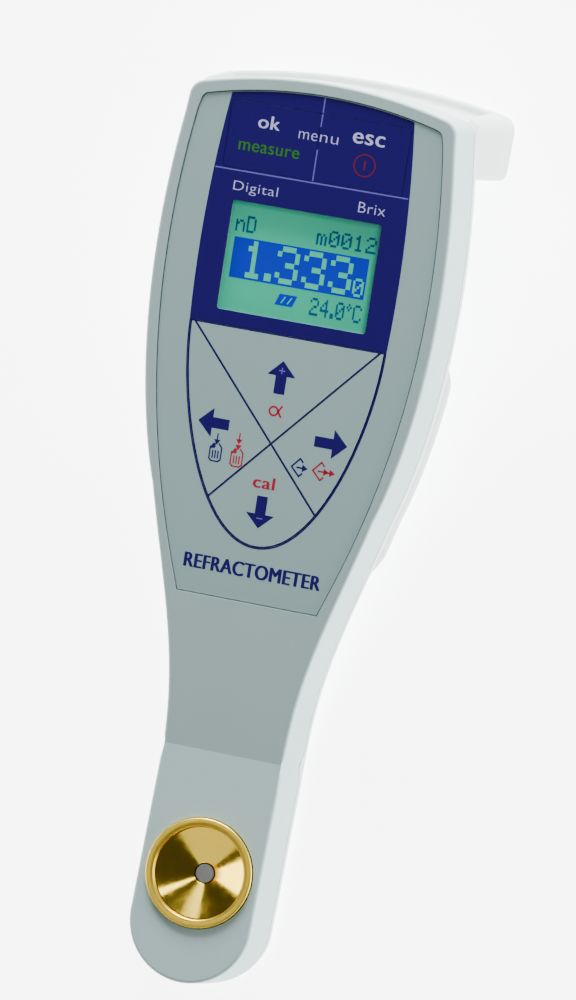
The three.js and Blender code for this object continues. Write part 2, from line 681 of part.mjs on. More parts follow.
// Ribbon from the sensor board up to the main board, bent at the crease.
function flexCable() {
  const { width, thick, depth } = RIBBON;
  const start = CELL_Y + OPTICS.length / 2 + GAP + SENSOR_BOARD.thick + GAP;
  const path = [[start, depth], [-6, depth], [12, -10.6], [44, -4.2]];
  const upper = path.map(([y, z]) => new THREE.Vector2(y, z + thick));
  const lower = path.map(([y, z]) => new THREE.Vector2(y, z)).reverse();
  return crossBar(shapeOf([...upper, ...lower]), width);
}

// ---------------------------------------------------------------- materials

function material(color, roughness, metalness = 0) {
  return new THREE.MeshStandardMaterial({ color, roughness, metalness });
}

const shellGrey = material(0x9cacaa, 0.5);
const shellWhite = material(0xe4e8e7, 0.5);
const overlayGrey = material(0x96a8a5, 0.55);
const navy = material(0x100268, 0.4);
const clear = material(0xdfe9ee, 0.08);
const teal = material(0x2db28c, 0.3);
const gold = material(0xe0b45c, 0.22, 1);
const sapphire = material(0x707c87, 0.1);
const steel = material(0xb9bcc0, 0.3, 1);
const boardGreen = material(0x1d5a3a, 0.5);
const blackPlastic = material(0x1b1c1e, 0.5);
const rubber = material(0x222325, 0.85);
const amber = material(0xe8a23a, 0.2);
const cellJacket = material(0x3c4a58, 0.35, 0.6);
const ribbonAmber = material(0xb87322, 0.4);

// ---------------------------------------------------------------- assembly

const refractometer = new THREE.Group();
const lying = new THREE.Group(); // holds everything with the crease above its own origin
const head = new THREE.Group();
const cell = new THREE.Group();
cell.position.z = SLAB;
head.position.z = SLAB;
head.rotation.x = TILT;
refractometer.add(lying);
lying.add(head, cell);

function place(parent, name, geometry, look) {
  const mesh = new THREE.Mesh(geometry, look);
  mesh.name = name;
  parent.add(mesh);
}

function addCase() {
  place(lying, 'front_shell', toGeometry(frontShell()), shellGrey);
  place(lying, 'rear_shell', toGeometry(rearShell()), shellWhite);
  place(lying, 'case_gasket', toGeometry(caseGasket()), rubber);
  CASE_SCREWS.forEach(([u, v], i) => {
    const fastener = screw(u, v, CASE_SCREW, CASE_SCREW.seat + GAP, CASE_SCREW.end + 0.9);
    place(head, `case_screw_${i + 1}`, fastener, steel);
  });
}

function addKeypad() {
  place(head, 'keypad_overlay', keypadOverlay(), overlayGrey);
  const keys = keySolids();
  for (const [name, geometry] of Object.entries(keys)) {
    const navyKey = name === 'key_ok' || name === 'key_esc';
    place(head, name, geometry, navyKey ? navy : overlayGrey);
    place(head, `dome_${name.slice(4)}`, switchDome(...KEY_CENTRES[name]), steel);
  }
}

function addDisplay() {
  const pane = plate(windowShape(-GAP), -OVERLAY_SINK - OVERLAY_THICK, -OVERLAY_SINK - 0.1);
  place(head, 'display_window', pane, clear);
  const { halfWidth, low, high, top, thick } = LCD;
  place(head, 'lcd_panel', box(-halfWidth, halfWidth, low, high, -top - thick, -top), teal);
  const under = -top - thick - GAP;
  const lamp = box(-halfWidth, halfWidth, low, high, under - BACKLIGHT_THICK, under);
  place(head, 'lcd_backlight', lamp, shellWhite);
}

function addElectronics() {
  const under = -BOARD.top - BOARD.thick - GAP;
  place(head, 'main_board', mainBoard(), boardGreen);
  const { size, thick, v } = CHIP;
  const chip = box(-size / 2, size / 2, v, v + size, under - thick, under);
  place(head, 'processor', chip, blackPlastic);
  const sounder = post(
    SOUNDER.u, SOUNDER.v, SOUNDER.radius, under - SOUNDER.thick, under,
  );
  place(head, 'sounder', sounder, blackPlastic);
  BATTERY_V.forEach((cellV, i) => {
    const side = i === 0 ? 1 : -1;
    const nubPlate = side * (TUB.halfWidth - GAP);
    const springPlate = -nubPlate;
    const strip = (edge) => {
      const inner = edge - Math.sign(edge) * CONTACT_THICK;
      const [x0, x1] = [Math.min(edge, inner), Math.max(edge, inner)];
      return box(x0, x1, cellV - 4, cellV + 4, -BATTERY.depth - 4, -BATTERY.depth + 4);
    };
    const coilStart = springPlate - Math.sign(springPlate) * (CONTACT_THICK + GAP + SPRING.wire);
    place(head, `battery_${i + 1}`, batteryCell(cellV, side), cellJacket);
    place(head, `contact_plus_${i + 1}`, strip(nubPlate), steel);
    place(head, `contact_minus_${i + 1}`, strip(springPlate), steel);
    place(head, `contact_spring_${i + 1}`, contactSpring(coilStart, cellV), steel);
  });
}

function addBatteryDoor() {
  place(head, 'battery_door', toGeometry(batteryDoor()), shellWhite);
  const seat = HUMP.depth - DOOR_SCREW_SINK - DOOR_SCREW.headThick;
  const fastener = screw(0, DOOR_SCREW.v, DOOR_SCREW, seat, DOOR_SCREW.end + 0.8);
  place(head, 'door_screw', fastener, steel);
}

function addSampleCell() {
  place(cell, 'cell_dish', cellDish(), gold);
  place(cell, 'prism', toGeometry(prismSolid()), sapphire);
  place(cell, 'prism_seal', prismSeal(), rubber);
  place(cell, 'optics_block', toGeometry(opticsBlock()), blackPlastic);
  place(cell, 'light_source', lightSource(), amber);
  place(cell, 'focus_lens', focusLens(), clear);
  place(cell, 'line_sensor', lineSensor(), steel);
  place(cell, 'sensor_board', sensorBoard(), boardGreen);
  const { x, radius, bottom, top } = THERMOMETER;
  place(cell, 'temperature_sensor', post(x, CELL_Y, radius, bottom, top), steel);
  place(cell, 'flex_cable', flexCable(), ribbonAmber);
}

addCase();
addKeypad();
addDisplay();
addElectronics();
addBatteryDoor();
addSampleCell();

// The origin is the middle of the footprint, on the table.
refractometer.updateMatrixWorld(true);
const bounds = new THREE.Box3().setFromObject(refractometer, true);
const middle = bounds.getCenter(new THREE.Vector3());
lying.position.set(-middle.x, -middle.y, -bounds.min.z);

export default refractometer;
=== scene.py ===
"""The looks of a hand-held digital refractometer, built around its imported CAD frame.

Metres, in the frame's own axes: +Y towards the display end, +Z up out of the face. Sizes below
are written in millimetres, as the CAD model has them, and turned into metres by mm().
The head (display half) and the cell half meet in a crease; a point of the case is given by
x across, s along (0 at the crease, positive on the head) and depth below the face.
"""

import json
import math

import bmesh
import bpy
import numpy as np
from mathutils import Matrix, Vector
from mathutils.geometry import tessellate_polygon


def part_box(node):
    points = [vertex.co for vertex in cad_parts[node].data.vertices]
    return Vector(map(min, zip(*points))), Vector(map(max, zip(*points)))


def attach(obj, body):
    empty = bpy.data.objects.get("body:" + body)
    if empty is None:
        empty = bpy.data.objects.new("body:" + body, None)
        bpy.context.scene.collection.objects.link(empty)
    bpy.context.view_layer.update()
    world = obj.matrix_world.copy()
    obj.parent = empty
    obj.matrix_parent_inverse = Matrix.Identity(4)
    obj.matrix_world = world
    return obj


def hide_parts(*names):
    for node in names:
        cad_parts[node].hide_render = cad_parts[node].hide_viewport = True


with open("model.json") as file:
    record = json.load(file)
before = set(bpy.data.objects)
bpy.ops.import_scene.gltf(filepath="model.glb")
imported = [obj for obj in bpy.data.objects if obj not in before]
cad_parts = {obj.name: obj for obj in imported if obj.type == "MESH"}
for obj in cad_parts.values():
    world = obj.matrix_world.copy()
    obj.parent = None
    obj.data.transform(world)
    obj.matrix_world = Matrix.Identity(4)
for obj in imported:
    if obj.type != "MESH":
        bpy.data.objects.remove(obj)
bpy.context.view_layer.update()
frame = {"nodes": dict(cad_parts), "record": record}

# ---------------- sizes, in millimetres

MM = 0.001
TILT = math.radians(8.5)  # head face against cell face
SLAB = 17.2  # case thickness
PARTING = 12.6  # depth of the joint between the shells
GAP = 0.3  # clearance between touching pieces
WALL = 2.4
FRONT_WALL = 2.6
BACK_WALL = 2.2
FLARE = 0.14  # side walls widen by this much per mm of depth
FACE_ROUND = 0.8
FACE_GROW = 0.35  # outline beyond the face's edge, below the edge radius
BACK_ROUND = 3.2

CELL_HALF = 15.65
TIP_CENTRE = -42.8
WAIST = [(CELL_HALF, 0), (15.8, 24), (22.5, 40), (28.9, 64.7)]
FLANK = [(28.9, 64.7), (29.3, 66.1), (43.1, 102), (34.6, 161.5)]
TOP_V = 170.7
TOP_RADIUS = 123.6
CORNER_ROUND = 3.9

OVERLAY_SIDE = [(18.5, 39.1), (23.4, 53.4), (41.7, 97.9), (31.4, 163.3)]
OVERLAY_TOP_V = 167.6
OVERLAY_TOP_RADIUS = 119
OVERLAY_ROUND = 2
OVERLAY_SINK = 0.3
OVERLAY_THICK = 0.9
RECESS_DEPTH = 1.5

WINDOW = {"half": 19.7, "low": 110.8, "high": 138.5, "round": 0.8}
LCD = {"half": 23, "low": 107.6, "high": 141.8, "top": 2.2}
TOP_KEYS = {"half": 23.6, "low": 146.2, "high": 163.4, "round": 1}
CROSS_V, CROSS_TOP, CROSS_SLOPE, CROSS_REACH = 79.6, 107.1, 1.118, 60
SHIELD_SIDE = [(0, 53.1), (15.5, 53.1), (25.4, 86), (25.6, CROSS_TOP)]
NAVY_SIDE = [(25.95, CROSS_TOP), (26.6, 120), (26.9, 140), (23.9, 165.0)]
KEY_THICK = 0.6

HUMP = {"low": 55.5, "high": 99, "depth": 21.2, "round": 2.4, "draft": 5}
TUB = {"half": 24.8, "low": 63.5, "high": 86.9, "top": 8.2, "wall": 0.8}
DOOR = {"half": 26.2, "low": 60.6, "high": 95.2, "thick": 1.8, "round": 2.5}
DOOR_SCREW_V = 91.2
DOOR_HOLE_END = 14.5
GRIP = {"count": 5, "half": 11, "pitch": 2.4, "first": 5, "width": 1, "deep": 0.5}
BATTERY = {
    "radius": 5.25,
    "length": 43.5,
    "nub_radius": 1.9,
    "nub": 1,
    "depth": 13.8,
    "v": (69.6, 80.8),
    "side": (1, -1),
}
CASE_SCREWS = [(-30.5, 141), (30.5, 141), (-17.5, 45), (17.5, 45)]
CASE_SCREW_SEAT, CASE_SCREW_FACE = 14.6, 16.3
SCREW = {"head": 2.4, "thick": 1.1, "shank": 1, "hole": 1.5, "slot": 1.5, "slot_half": 0.3}

# The foot is the deep lip at the display end, with its levels as heights above the table.
FOOT = {
    "out": 177,
    "out_lean": -0.21,
    "in": 156.4,
    "in_lean": -0.146,
    "half": 40.6,
    "half_lean": -0.134,
}
FOOT_ROUND = 3
FOOT_WALL = 3.6
FOOT_TOP_RADIUS = 197
FOOT_CORNER = 4.2
FOOT_HEIGHT = 32
SCOOP = {"half": 34, "low": 7, "high": 28.2, "depth": 2.3}

CELL_Y = -30.7
DISH = {"radius": 13.95, "lip": 1, "mouth": 11.7, "floor_radius": 2.7, "floor": -5.2, "skirt": -2.9}
STONE = {"radius": 2.4, "top": -5.3, "shoulder": -6.6, "foot_radius": 1.8, "foot": -9.3}

dish_low, dish_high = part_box("cell_dish")
CREASE_Y = (dish_low[1] + dish_high[1]) / 2 / MM - CELL_Y  # the crease, in frame millimetres


def mm(*values):
    return Vector(values) * MM


# ---------------- the frame of each half

HEAD = Matrix.Translation(mm(0, CREASE_Y, SLAB)) @ Matrix.Rotation(TILT, 4, "X")
CELL = Matrix.Translation(mm(0, CREASE_Y, SLAB))


def on_head(u, v, up=0.0):
    return HEAD @ mm(u, v, up)


def on_cell(u, v, up=0.0):
    return CELL @ mm(u, v, up)


def bent(u, s, depth):
    """A point of the case. At the crease it sinks along the line that halves the bend."""
    if s > 0:
        return on_head(u, s, -depth)
    if s < 0:
        return on_cell(u, s, -depth)
    half = TILT / 2
    sink = depth / math.cos(half)
    return on_cell(u, sink * math.sin(half), -sink * math.cos(half))


# ---------------- outlines


def bezier(controls, count):
    a, b, c, d = (np.array(point, float) for point in controls)
    t = np.linspace(0, 1, count + 1)[:, None]
    points = (1 - t) ** 3 * a + 3 * (1 - t) ** 2 * t * b + 3 * (1 - t) * t * t * c + t**3 * d
    return [tuple(point) for point in points]


def arc(x, y, radius, start, end, count):
    angles = [start + (end - start) * i / count for i in range(count + 1)]
    return [(x + radius * math.cos(angle), y + radius * math.sin(angle)) for angle in angles]


def circle(x, y, radius, count):
    return arc(x, y, radius, 0, 2 * math.pi, count)[:-1]


def mirrored(points):
    return [(-x, y) for x, y in reversed(points)]


def side_corner_top(side, top_v, top_radius, corner, corner_count=8, top_count=24):
    """Right half of a tapered outline: side curve, round corner, half of the top arc."""
    corner_x = side[-1][0] - corner
    centre = top_v - top_radius
    corner_y = centre + math.sqrt((top_radius - corner) ** 2 - corner_x**2)
    lean = math.atan2(corner_y - centre, corner_x)
    rounded = arc(corner_x, corner_y, corner, 0, lean, corner_count)
    top = arc(0, centre, top_radius, lean, math.pi / 2, top_count)
    return side[:-1] + rounded + top[1:-1]


def round_rectangle(x0, x1, y0, y1, radius, count=6):
    quarter = math.pi / 2
    return (
        arc(x1 - radius, y0 + radius, radius, -quarter, 0, count)
        + arc(x1 - radius, y1 - radius, radius, 0, quarter, count)
        + arc(x0 + radius, y1 - radius, radius, quarter, 2 * quarter, count)
        + arc(x0 + radius, y0 + radius, radius, 2 * quarter, 3 * quarter, count)
    )


def inset_points(points, inset, closed=True):
    """Moves each point inwards, square to the chord between its neighbours."""
    moved = []
    count = len(points)
    for i, (x, y) in enumerate(points):
        before = points[i - 1] if closed or i > 0 else points[i]
        after = points[(i + 1) % count] if closed or i + 1 < count else points[i]
        along = Vector((after[0] - before[0], after[1] - before[1])).normalized()
        moved.append((x - along.y * inset, y + along.x * inset))
    return moved


HEAD_SIDE = bezier(WAIST, 40) + bezier(FLANK, 60)[1:]
HEAD_RIGHT = side_corner_top(HEAD_SIDE, TOP_V, TOP_RADIUS, CORNER_ROUND)
HEAD_OUTLINE = HEAD_RIGHT + [(0.0, TOP_V)] + mirrored(HEAD_RIGHT)


def head_line(depth, inset):
    """Head outline at a depth, from the crease round the top and back to the crease."""
    side_end = HEAD_SIDE[-1]
    wide = []
    for x, y in HEAD_OUTLINE:
        share = x / side_end[0] if y > side_end[1] else math.copysign(1, x)
        wide.append((x + share * FLARE * depth, y))
    moved = inset_points(wide, inset, closed=False)
    for end in (0, -1):
        x = wide[end][0]
        moved[end] = (x - math.copysign(inset, x), 0.0)
    return moved


def case_ring(depth, inset):
    """Closed outline of the whole case at a depth, bent at the crease."""
    half = CELL_HALF - inset + FLARE * depth
    tip = arc(0, 0, 1, math.pi, 2 * math.pi, 64)
    tip = [(half * x, TIP_CENTRE + (CELL_HALF - inset) * y) for x, y in tip]
    side = [TIP_CENTRE * i / 12 for i in range(1, 12)]
    flat = head_line(depth, inset)
    flat += [(-half, s) for s in side] + tip + [(half, s) for s in reversed(side)]
    return [bent(x, s, depth) for x, s in flat]


def foot_ring(height, inset):
    out = FOOT["out"] + FOOT["out_lean"] * height - inset
    inner = FOOT["in"] + FOOT["in_lean"] * height + inset
    half = FOOT["half"] + FOOT["half_lean"] * height - inset
    corner = max(FOOT_CORNER - inset, 0.8)
    side = arc(half - 2, inner + 2, 2, -math.pi / 2, 0, 5) + [(half, out - 9)]
    right = side_corner_top(side, out, FOOT_TOP_RADIUS, corner, 8, 20)
    points = right + [(0.0, out)] + mirrored(right)
    return [mm(x, y + CREASE_Y, height) for x, y in points]


def edge_round(radius, steps):
    """Depth and inset pairs round a quarter circle, for the edge of a face."""
    angles = [math.pi / 2 * i / steps for i in range(steps + 1)]
    return [(radius * (1 - math.cos(a)), radius * (1 - math.sin(a))) for a in angles]


def recess_outline(grow):
    side = [(x + grow, y) for x, y in bezier(OVERLAY_SIDE, 60)]
    right = side_corner_top(
        side, OVERLAY_TOP_V + grow, OVERLAY_TOP_RADIUS, OVERLAY_ROUND + grow, 8, 20
    )
    right[0] = (right[0][0], right[0][1] - grow)
    return right + [(0.0, OVERLAY_TOP_V + grow)] + mirrored(right)


def panel_outline(sizes, grow, radius, count=6):
    """Rounded rectangle of a part with a half width, a low and a high end, grown all round."""
    half = sizes["half"] + grow
    return round_rectangle(-half, half, sizes["low"] - grow, sizes["high"] + grow, radius, count)


def window_outline(grow):
    return panel_outline(WINDOW, grow, WINDOW["round"])


def rectangle(x0, x1, y0, y1):
    return [(x0, y0), (x1, y0), (x1, y1), (x0, y1)]


def shield_right(shrink, count=48):
    right = inset_points(bezier(SHIELD_SIDE, count), shrink, closed=False)
    right[0] = (0.0, right[0][1])
    right[-1] = (right[-1][0], CROSS_TOP - shrink)
    return right


def shield_outline(shrink):
    right = shield_right(shrink)
    return right + mirrored(right)[:-1]


# ---------------- mesh helpers


def add_object(name, data):
    piece = bpy.data.objects.new(name, data)
    bpy.context.scene.collection.objects.link(piece)
    return piece


def mesh_from(build, name):
    work = bmesh.new()
    build(work)
    bmesh.ops.recalc_face_normals(work, faces=work.faces)
    mesh = bpy.data.meshes.new(name)
    work.to_mesh(mesh)
    work.free()
    return mesh


def loft(name, rings, caps=None):
    """A closed solid through rings of equal count. caps cuts an end's polygon at given points."""

    def build(work):
        rows = [[work.verts.new(point) for point in ring] for ring in rings]
        count = len(rows[0])
        for low, high in zip(rows, rows[1:]):
            for i in range(count):
                j = (i + 1) % count
                work.faces.new((low[i], low[j], high[j], high[i]))
        for row in (rows[0], rows[-1]):
            if caps is None:
                work.faces.new(row)
                continue
            a, b = caps
            work.faces.new(row[a : b + 1])
            work.faces.new(row[b:] + row[: a + 1])

    return add_object(name, mesh_from(build, name))


def prism(name, outline, low, high, place=on_head):
    """Outline between two heights above a face; place turns u, v, up into a point."""
    rings = [[place(x, y, level) for x, y in outline] for level in (low, high)]
    return loft(name, rings)


def cylinder(name, u, v, radius, low, high, place=on_head, sides=48):
    return prism(name, circle(u, v, radius, sides), low, high, place)


def turned(name, profile, u, v, place, sides=128):
    """Body of revolution about the face's normal at u, v, from a closed (radius, height) list."""

    def build(work):
        rows = []
        for radius, height in profile:
            if radius < 1e-6:
                rows.append([work.verts.new(place(u, v, height))])
                continue
            ring = circle(u, v, radius, sides)
            rows.append([work.verts.new(place(x, y, height)) for x, y in ring])
        for low, high in zip(rows, rows[1:] + rows[:1]):
            if len(low) == 1 and len(high) == 1:
                continue
            for i in range(sides):
                j = (i + 1) % sides
                corners = [low[i % len(low)], low[j % len(low)]]
                corners += [high[j % len(high)], high[i % len(high)]]
                work.faces.new(list(dict.fromkeys(corners)))

    return add_object(name, mesh_from(build, name))


def modify(piece, kind, **settings):
    modifier = piece.modifiers.new(kind.lower(), kind)
    for name, value in settings.items():
        setattr(modifier, name, value)


def apply_modifiers(piece):
    graph = bpy.context.evaluated_depsgraph_get()
    mesh = bpy.data.meshes.new_from_object(piece.evaluated_get(graph))
    piece.modifiers.clear()
    piece.data = mesh
    return piece


def boolean(piece, others, operation="DIFFERENCE"):
    for other in others:
        how = {"solver": "EXACT", "material_mode": "TRANSFER"}
        modify(piece, "BOOLEAN", operation=operation, object=other, **how)
    apply_modifiers(piece)
    for other in others:
        bpy.data.objects.remove(other)
    return piece


def bevel(piece, width, segments=2):
    limit = {"limit_method": "ANGLE", "angle_limit": math.radians(40)}
    modify(piece, "BEVEL", width=width * MM, segments=segments, use_clamp_overlap=True, **limit)
    return apply_modifiers(piece)


def smooth(piece, angle=35):
    """Smooth shading with sharp edges kept, the crease too, and the flats kept flat."""
    mesh = piece.data
    for polygon in mesh.polygons:
        polygon.use_smooth = True
    mesh.set_sharp_from_angle(angle=math.radians(angle))
    across = Vector((0, math.cos(TILT / 2), math.sin(TILT / 2)))
    start = on_cell(0, 0)
    on_crease = [abs((vertex.co - start).dot(across)) < 0.02 * MM for vertex in mesh.vertices]
    for edge in mesh.edges:
        if all(on_crease[i] for i in edge.vertices):
            edge.use_edge_sharp = True
    modify(piece, "WEIGHTED_NORMAL", keep_sharp=True)
    return apply_modifiers(piece)


def paint(piece, *materials):
    piece.data.materials.clear()
    for material in materials:
        piece.data.materials.append(material)


def dress(piece, body, slot, nodes=(), material=None):
    """What every piece gets: a body, its material (the look of its slot of the record, unless a
    material is given), and its CAD nodes hidden.
    """
    paint(piece, material or looks[slot])
    return seat(piece, body, nodes)


def seat(piece, body, nodes=()):
    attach(piece, body)
    if nodes:
        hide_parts(*nodes)
    return piece


# ---------------- materials


def srgb(red, green, blue):
    def linear(value):
        value /= 255
        return value / 12.92 if value <= 0.04045 else ((value + 0.055) / 1.055) ** 2.4

    return (linear(red), linear(green), linear(blue), 1.0)


class Look:
    """A material's node tree, with short calls for the nodes used here."""

    def __init__(self, name, colour, roughness, metallic=0.0):
        self.material = bpy.data.materials.new(name)
        self.material.use_nodes = True
        self.tree = self.material.node_tree
        self.shader = self.tree.nodes["Principled BSDF"]
        self.colour = colour
        self.shade(Base_Color=colour, Roughness=roughness, Metallic=metallic)
        self.place = self.node("ShaderNodeTexCoord").outputs["Object"]

    def node(self, kind, **inputs):
        made = self.tree.nodes.new(kind)
        for name, value in inputs.items():
            self.set(made.inputs[name.replace("_", " ")], value)
        return made

    def set(self, socket, value):
        if isinstance(value, bpy.types.NodeSocket):
            self.tree.links.new(value, socket)
        else:
            socket.default_value = value

    def noise(self, scale, detail=2.0, roughness=0.5, source=None):
        made = self.node("ShaderNodeTexNoise", Scale=scale, Detail=detail, Roughness=roughness)
        self.set(made.inputs["Vector"], source or self.place)
        return made.outputs["Fac"]

    def remap(self, value, low, high, to_low, to_high):
        made = self.node("ShaderNodeMapRange")
        names = ("Value", "From Min", "From Max", "To Min", "To Max")
        for name, item in zip(names, (value, low, high, to_low, to_high)):
            self.set(made.inputs[name], item)
        return made.outputs["Result"]

    def times(self, first, second):
        made = self.node("ShaderNodeMath")
        made.operation = "MULTIPLY"
        self.set(made.inputs[0], first)
        self.set(made.inputs[1], second)
        return made.outputs[0]

    def vector_maths(self, operation, first, second):
        made = self.node("ShaderNodeVectorMath")
        made.operation = operation
        self.set(made.inputs[0], first)
        made.inputs[1].default_value = second
        return made

    def along(self, start, step):
        """Distance from start along step, counted in steps."""
        shifted = self.vector_maths("SUBTRACT", self.place, start)
        step = step / step.length_squared
        return self.vector_maths("DOT_PRODUCT", shifted.outputs[0], step).outputs["Value"]

    def bump(self, height, distance, strength=1.0):
        made = self.node("ShaderNodeBump", Strength=strength, Distance=distance, Height=height)
        self.shade(Normal=made.outputs["Normal"])

    def shade(self, **inputs):
        for name, value in inputs.items():
            self.set(self.shader.inputs[name.replace("_", " ")], value)

    def mix_base(self, factor, first, second):
        """Base colour between two colours."""
        made = self.node("ShaderNodeMix")
        made.data_type = "RGBA"
        self.set(made.inputs["Factor"], factor)
        made.inputs[6].default_value = first
        made.inputs[7].default_value = second
        self.shade(Base_Color=made.outputs[2])

    def vary_colour(self, scale, amount):
        """Mottles the base colour a little, lighter and darker."""
        darker = [value * (1 - amount) for value in self.colour[:3]]
        lighter = [min(value * (1 + amount), 1.0) for value in self.colour[:3]]
        self.mix_base(self.noise(scale, 3.0), (*darker, 1.0), (*lighter, 1.0))

    def vary_roughness(self, scale, low, high):
        self.shade(Roughness=self.remap(self.noise(scale, 4.0), 0.3, 0.7, low, high))


def moulded(name, colour, low, high, grain=0.00002, scale=2600.0):
    """Moulded plastic with a fine spark-eroded grain and faint handling marks."""
    look = Look(name, colour, (low + high) / 2)
    look.vary_colour(35.0, 0.015)
    look.vary_roughness(60.0, low, high)
    look.bump(look.noise(scale, 2.0, 0.6), grain)
    look.shade(Specular_IOR_Level=0.45)
    return look.material


def film(name, colour, low=0.42, high=0.52):
    """Printed polyester film with a velvet texture."""
    look = Look(name, colour, (low + high) / 2)
    look.vary_colour(28.0, 0.012)
    look.vary_roughness(80.0, low, high)
    look.bump(look.noise(5200.0, 1.0, 0.5), 0.000012)
    look.shade(Specular_IOR_Level=0.28)
    return look.material


# A glow makes the print shine as painted light; only the display's print uses it.
def print_ink(name, colour, roughness=0.45, painted_glow=0.0):
    look = Look(name, colour, roughness)
    look.shade(Specular_IOR_Level=0.15, Emission_Color=colour, Emission_Strength=painted_glow)
    look.vary_colour(300.0, 0.03)
    look.vary_roughness(250.0, roughness - 0.05, roughness + 0.05)
    return look.material


def polished(name, colour, low, high, marks=900.0, depth=0.000003):
    """Metal with fine handling marks."""
    look = Look(name, colour, (low + high) / 2, 1.0)
    look.vary_roughness(400.0, low, high)
    look.bump(look.noise(marks, 5.0, 0.7), depth)
    return look.material


def turned_gold(name, low, high, depth):
    """Gold plating over turned metal: fine rings about the sample cell's axis."""
    look = Look(name, srgb(255, 217, 72), (low + high) / 2, 1.0)
    shifted = look.vector_maths("SUBTRACT", look.place, on_cell(0, CELL_Y))
    wave = look.node("ShaderNodeTexWave", Scale=900.0, Distortion=0.4, Detail=1.0)
    wave.wave_type = "RINGS"
    wave.rings_direction = "Z"
    look.set(wave.inputs["Vector"], shifted.outputs[0])
    look.bump(wave.outputs["Fac"], depth, 0.6)
    look.vary_roughness(500.0, low, high)
    return look.material


def clear_pane():
    """Clear window: see-through, and glossy where light meets it from outside."""
    look = Look("clear_pane", (1, 1, 1, 1), 0.05)
    tree = look.tree
    through = look.node("ShaderNodeBsdfTransparent", Color=(0.97, 1.0, 0.99, 1))
    gloss = look.node("ShaderNodeBsdfGlossy", Roughness=0.06)
    smear = look.node("ShaderNodeBump", Distance=0.000004, Height=look.noise(160.0, 3.0))
    look.set(gloss.inputs["Normal"], smear.outputs["Normal"])
    edge = look.node("ShaderNodeFresnel", IOR=1.35)
    mix = look.node("ShaderNodeMixShader")
    behind = look.node("ShaderNodeNewGeometry").outputs["Backfacing"]
    look.set(mix.inputs[0], look.times(edge.outputs[0], look.remap(behind, 0, 1, 1, 0)))
    look.set(mix.inputs[1], through.outputs[0])
    look.set(mix.inputs[2], gloss.outputs[0])
    tree.links.new(mix.outputs[0], tree.nodes["Material Output"].inputs["Surface"])
    tree.nodes.remove(look.shader)
    return look.material


def liquid_crystal():
    """Teal display ground with a faint dot grid; it glows as painted light, with painted shade fading
    it towards the right and a painted shadow under the window's right and top edges.
    """
    look = Look("liquid_crystal", srgb(34, 180, 144), 0.35)
    look.vary_roughness(120.0, 0.3, 0.42)
    dot, line = 0.00032, 0.00002
    grid = look.node("ShaderNodeTexBrick", Scale=1.0, Brick_Width=dot, Row_Height=dot, Mortar_Size=line)
    grid.offset = 0.0
    look.set(grid.inputs["Vector"], look.place)
    look.bump(grid.outputs["Fac"], 0.000004, 0.3)
    across = look.along(on_head(0, 0), on_head(1, 0) - on_head(0, 0))
    upward = look.along(on_head(0, 0), on_head(0, 1) - on_head(0, 0))
    edge_u, edge_v = WINDOW["half"] - 0.5, WINDOW["high"] - 0.2
    # Painted shadow along the window's right and top edges, and painted shade fading towards the right;
    # this shade dims the painted glow and darkens the base colour.
    side = look.remap(across, edge_u - 1.3, edge_u, 1.0, 0.3)
    top = look.remap(upward, edge_v - 1.2, edge_v, 1.0, 0.45)
    spread = look.remap(across, -edge_u, edge_u, 1.12, 0.9)
    shade = look.times(look.times(side, top), spread)
    look.shade(Emission_Strength=look.times(shade, LCD_PAINTED_GLOW), Emission_Color=look.colour)
    look.mix_base(shade, srgb(14, 60, 70), look.colour)
    return look.material


def polished_stone():
    look = Look("sapphire_face", srgb(150, 162, 174), 0.12)
    look.vary_colour(200.0, 0.1)
    look.vary_roughness(300.0, 0.08, 0.16)
    look.shade(IOR=1.77, Coat_Weight=0.6, Coat_Roughness=0.03)
    return look.material


# The display and its print glow as painted light: they have no lamp, and the glow stands in for light
# that does not reach them under the window.
LCD_PAINTED_GLOW = 0.45
# The front moulding's colour is darker than the rear moulding's plastic: painted shade for the face,
# which gets less light than the side walls.
SHADED_BODY = srgb(160, 187, 185)
BODY_WHITE = srgb(205, 216, 214)
FILM_GREY = srgb(149, 177, 176)

looks = {
    "shell_grey": moulded("front_moulding", SHADED_BODY, 0.42, 0.56),
    "shell_white": moulded("rear_moulding", BODY_WHITE, 0.42, 0.56),
    "overlay_grey": film("keypad_film", FILM_GREY),
    "navy_field": film("navy_film", srgb(20, 0, 90), 0.36, 0.46),
    "clear_plastic": clear_pane(),
    "lcd_teal": liquid_crystal(),
    "gold": turned_gold("polished_gold", 0.1, 0.18, 0.0000008),
    "satin_gold": turned_gold("satin_gold", 0.34, 0.42, 0.000002),
    "sapphire": polished_stone(),
    "steel": polished("bright_steel", srgb(190, 192, 196), 0.18, 0.32),
    "circuit_board": film("solder_mask", srgb(24, 92, 56), 0.3, 0.4),
    "black_plastic": moulded("black_moulding", srgb(26, 27, 29), 0.4, 0.55),
    "rubber": moulded("silicone", srgb(34, 35, 37), 0.75, 0.9, 0.00001, 900.0),
    "amber_resin": moulded("lamp_resin", srgb(236, 160, 50), 0.12, 0.2, 0.000002, 400.0),
    "cell_jacket": polished("battery_sleeve", srgb(70, 84, 100), 0.25, 0.4, 200.0, 0.0000008),
    "ribbon": film("polyimide", srgb(196, 120, 34), 0.3, 0.4),
}
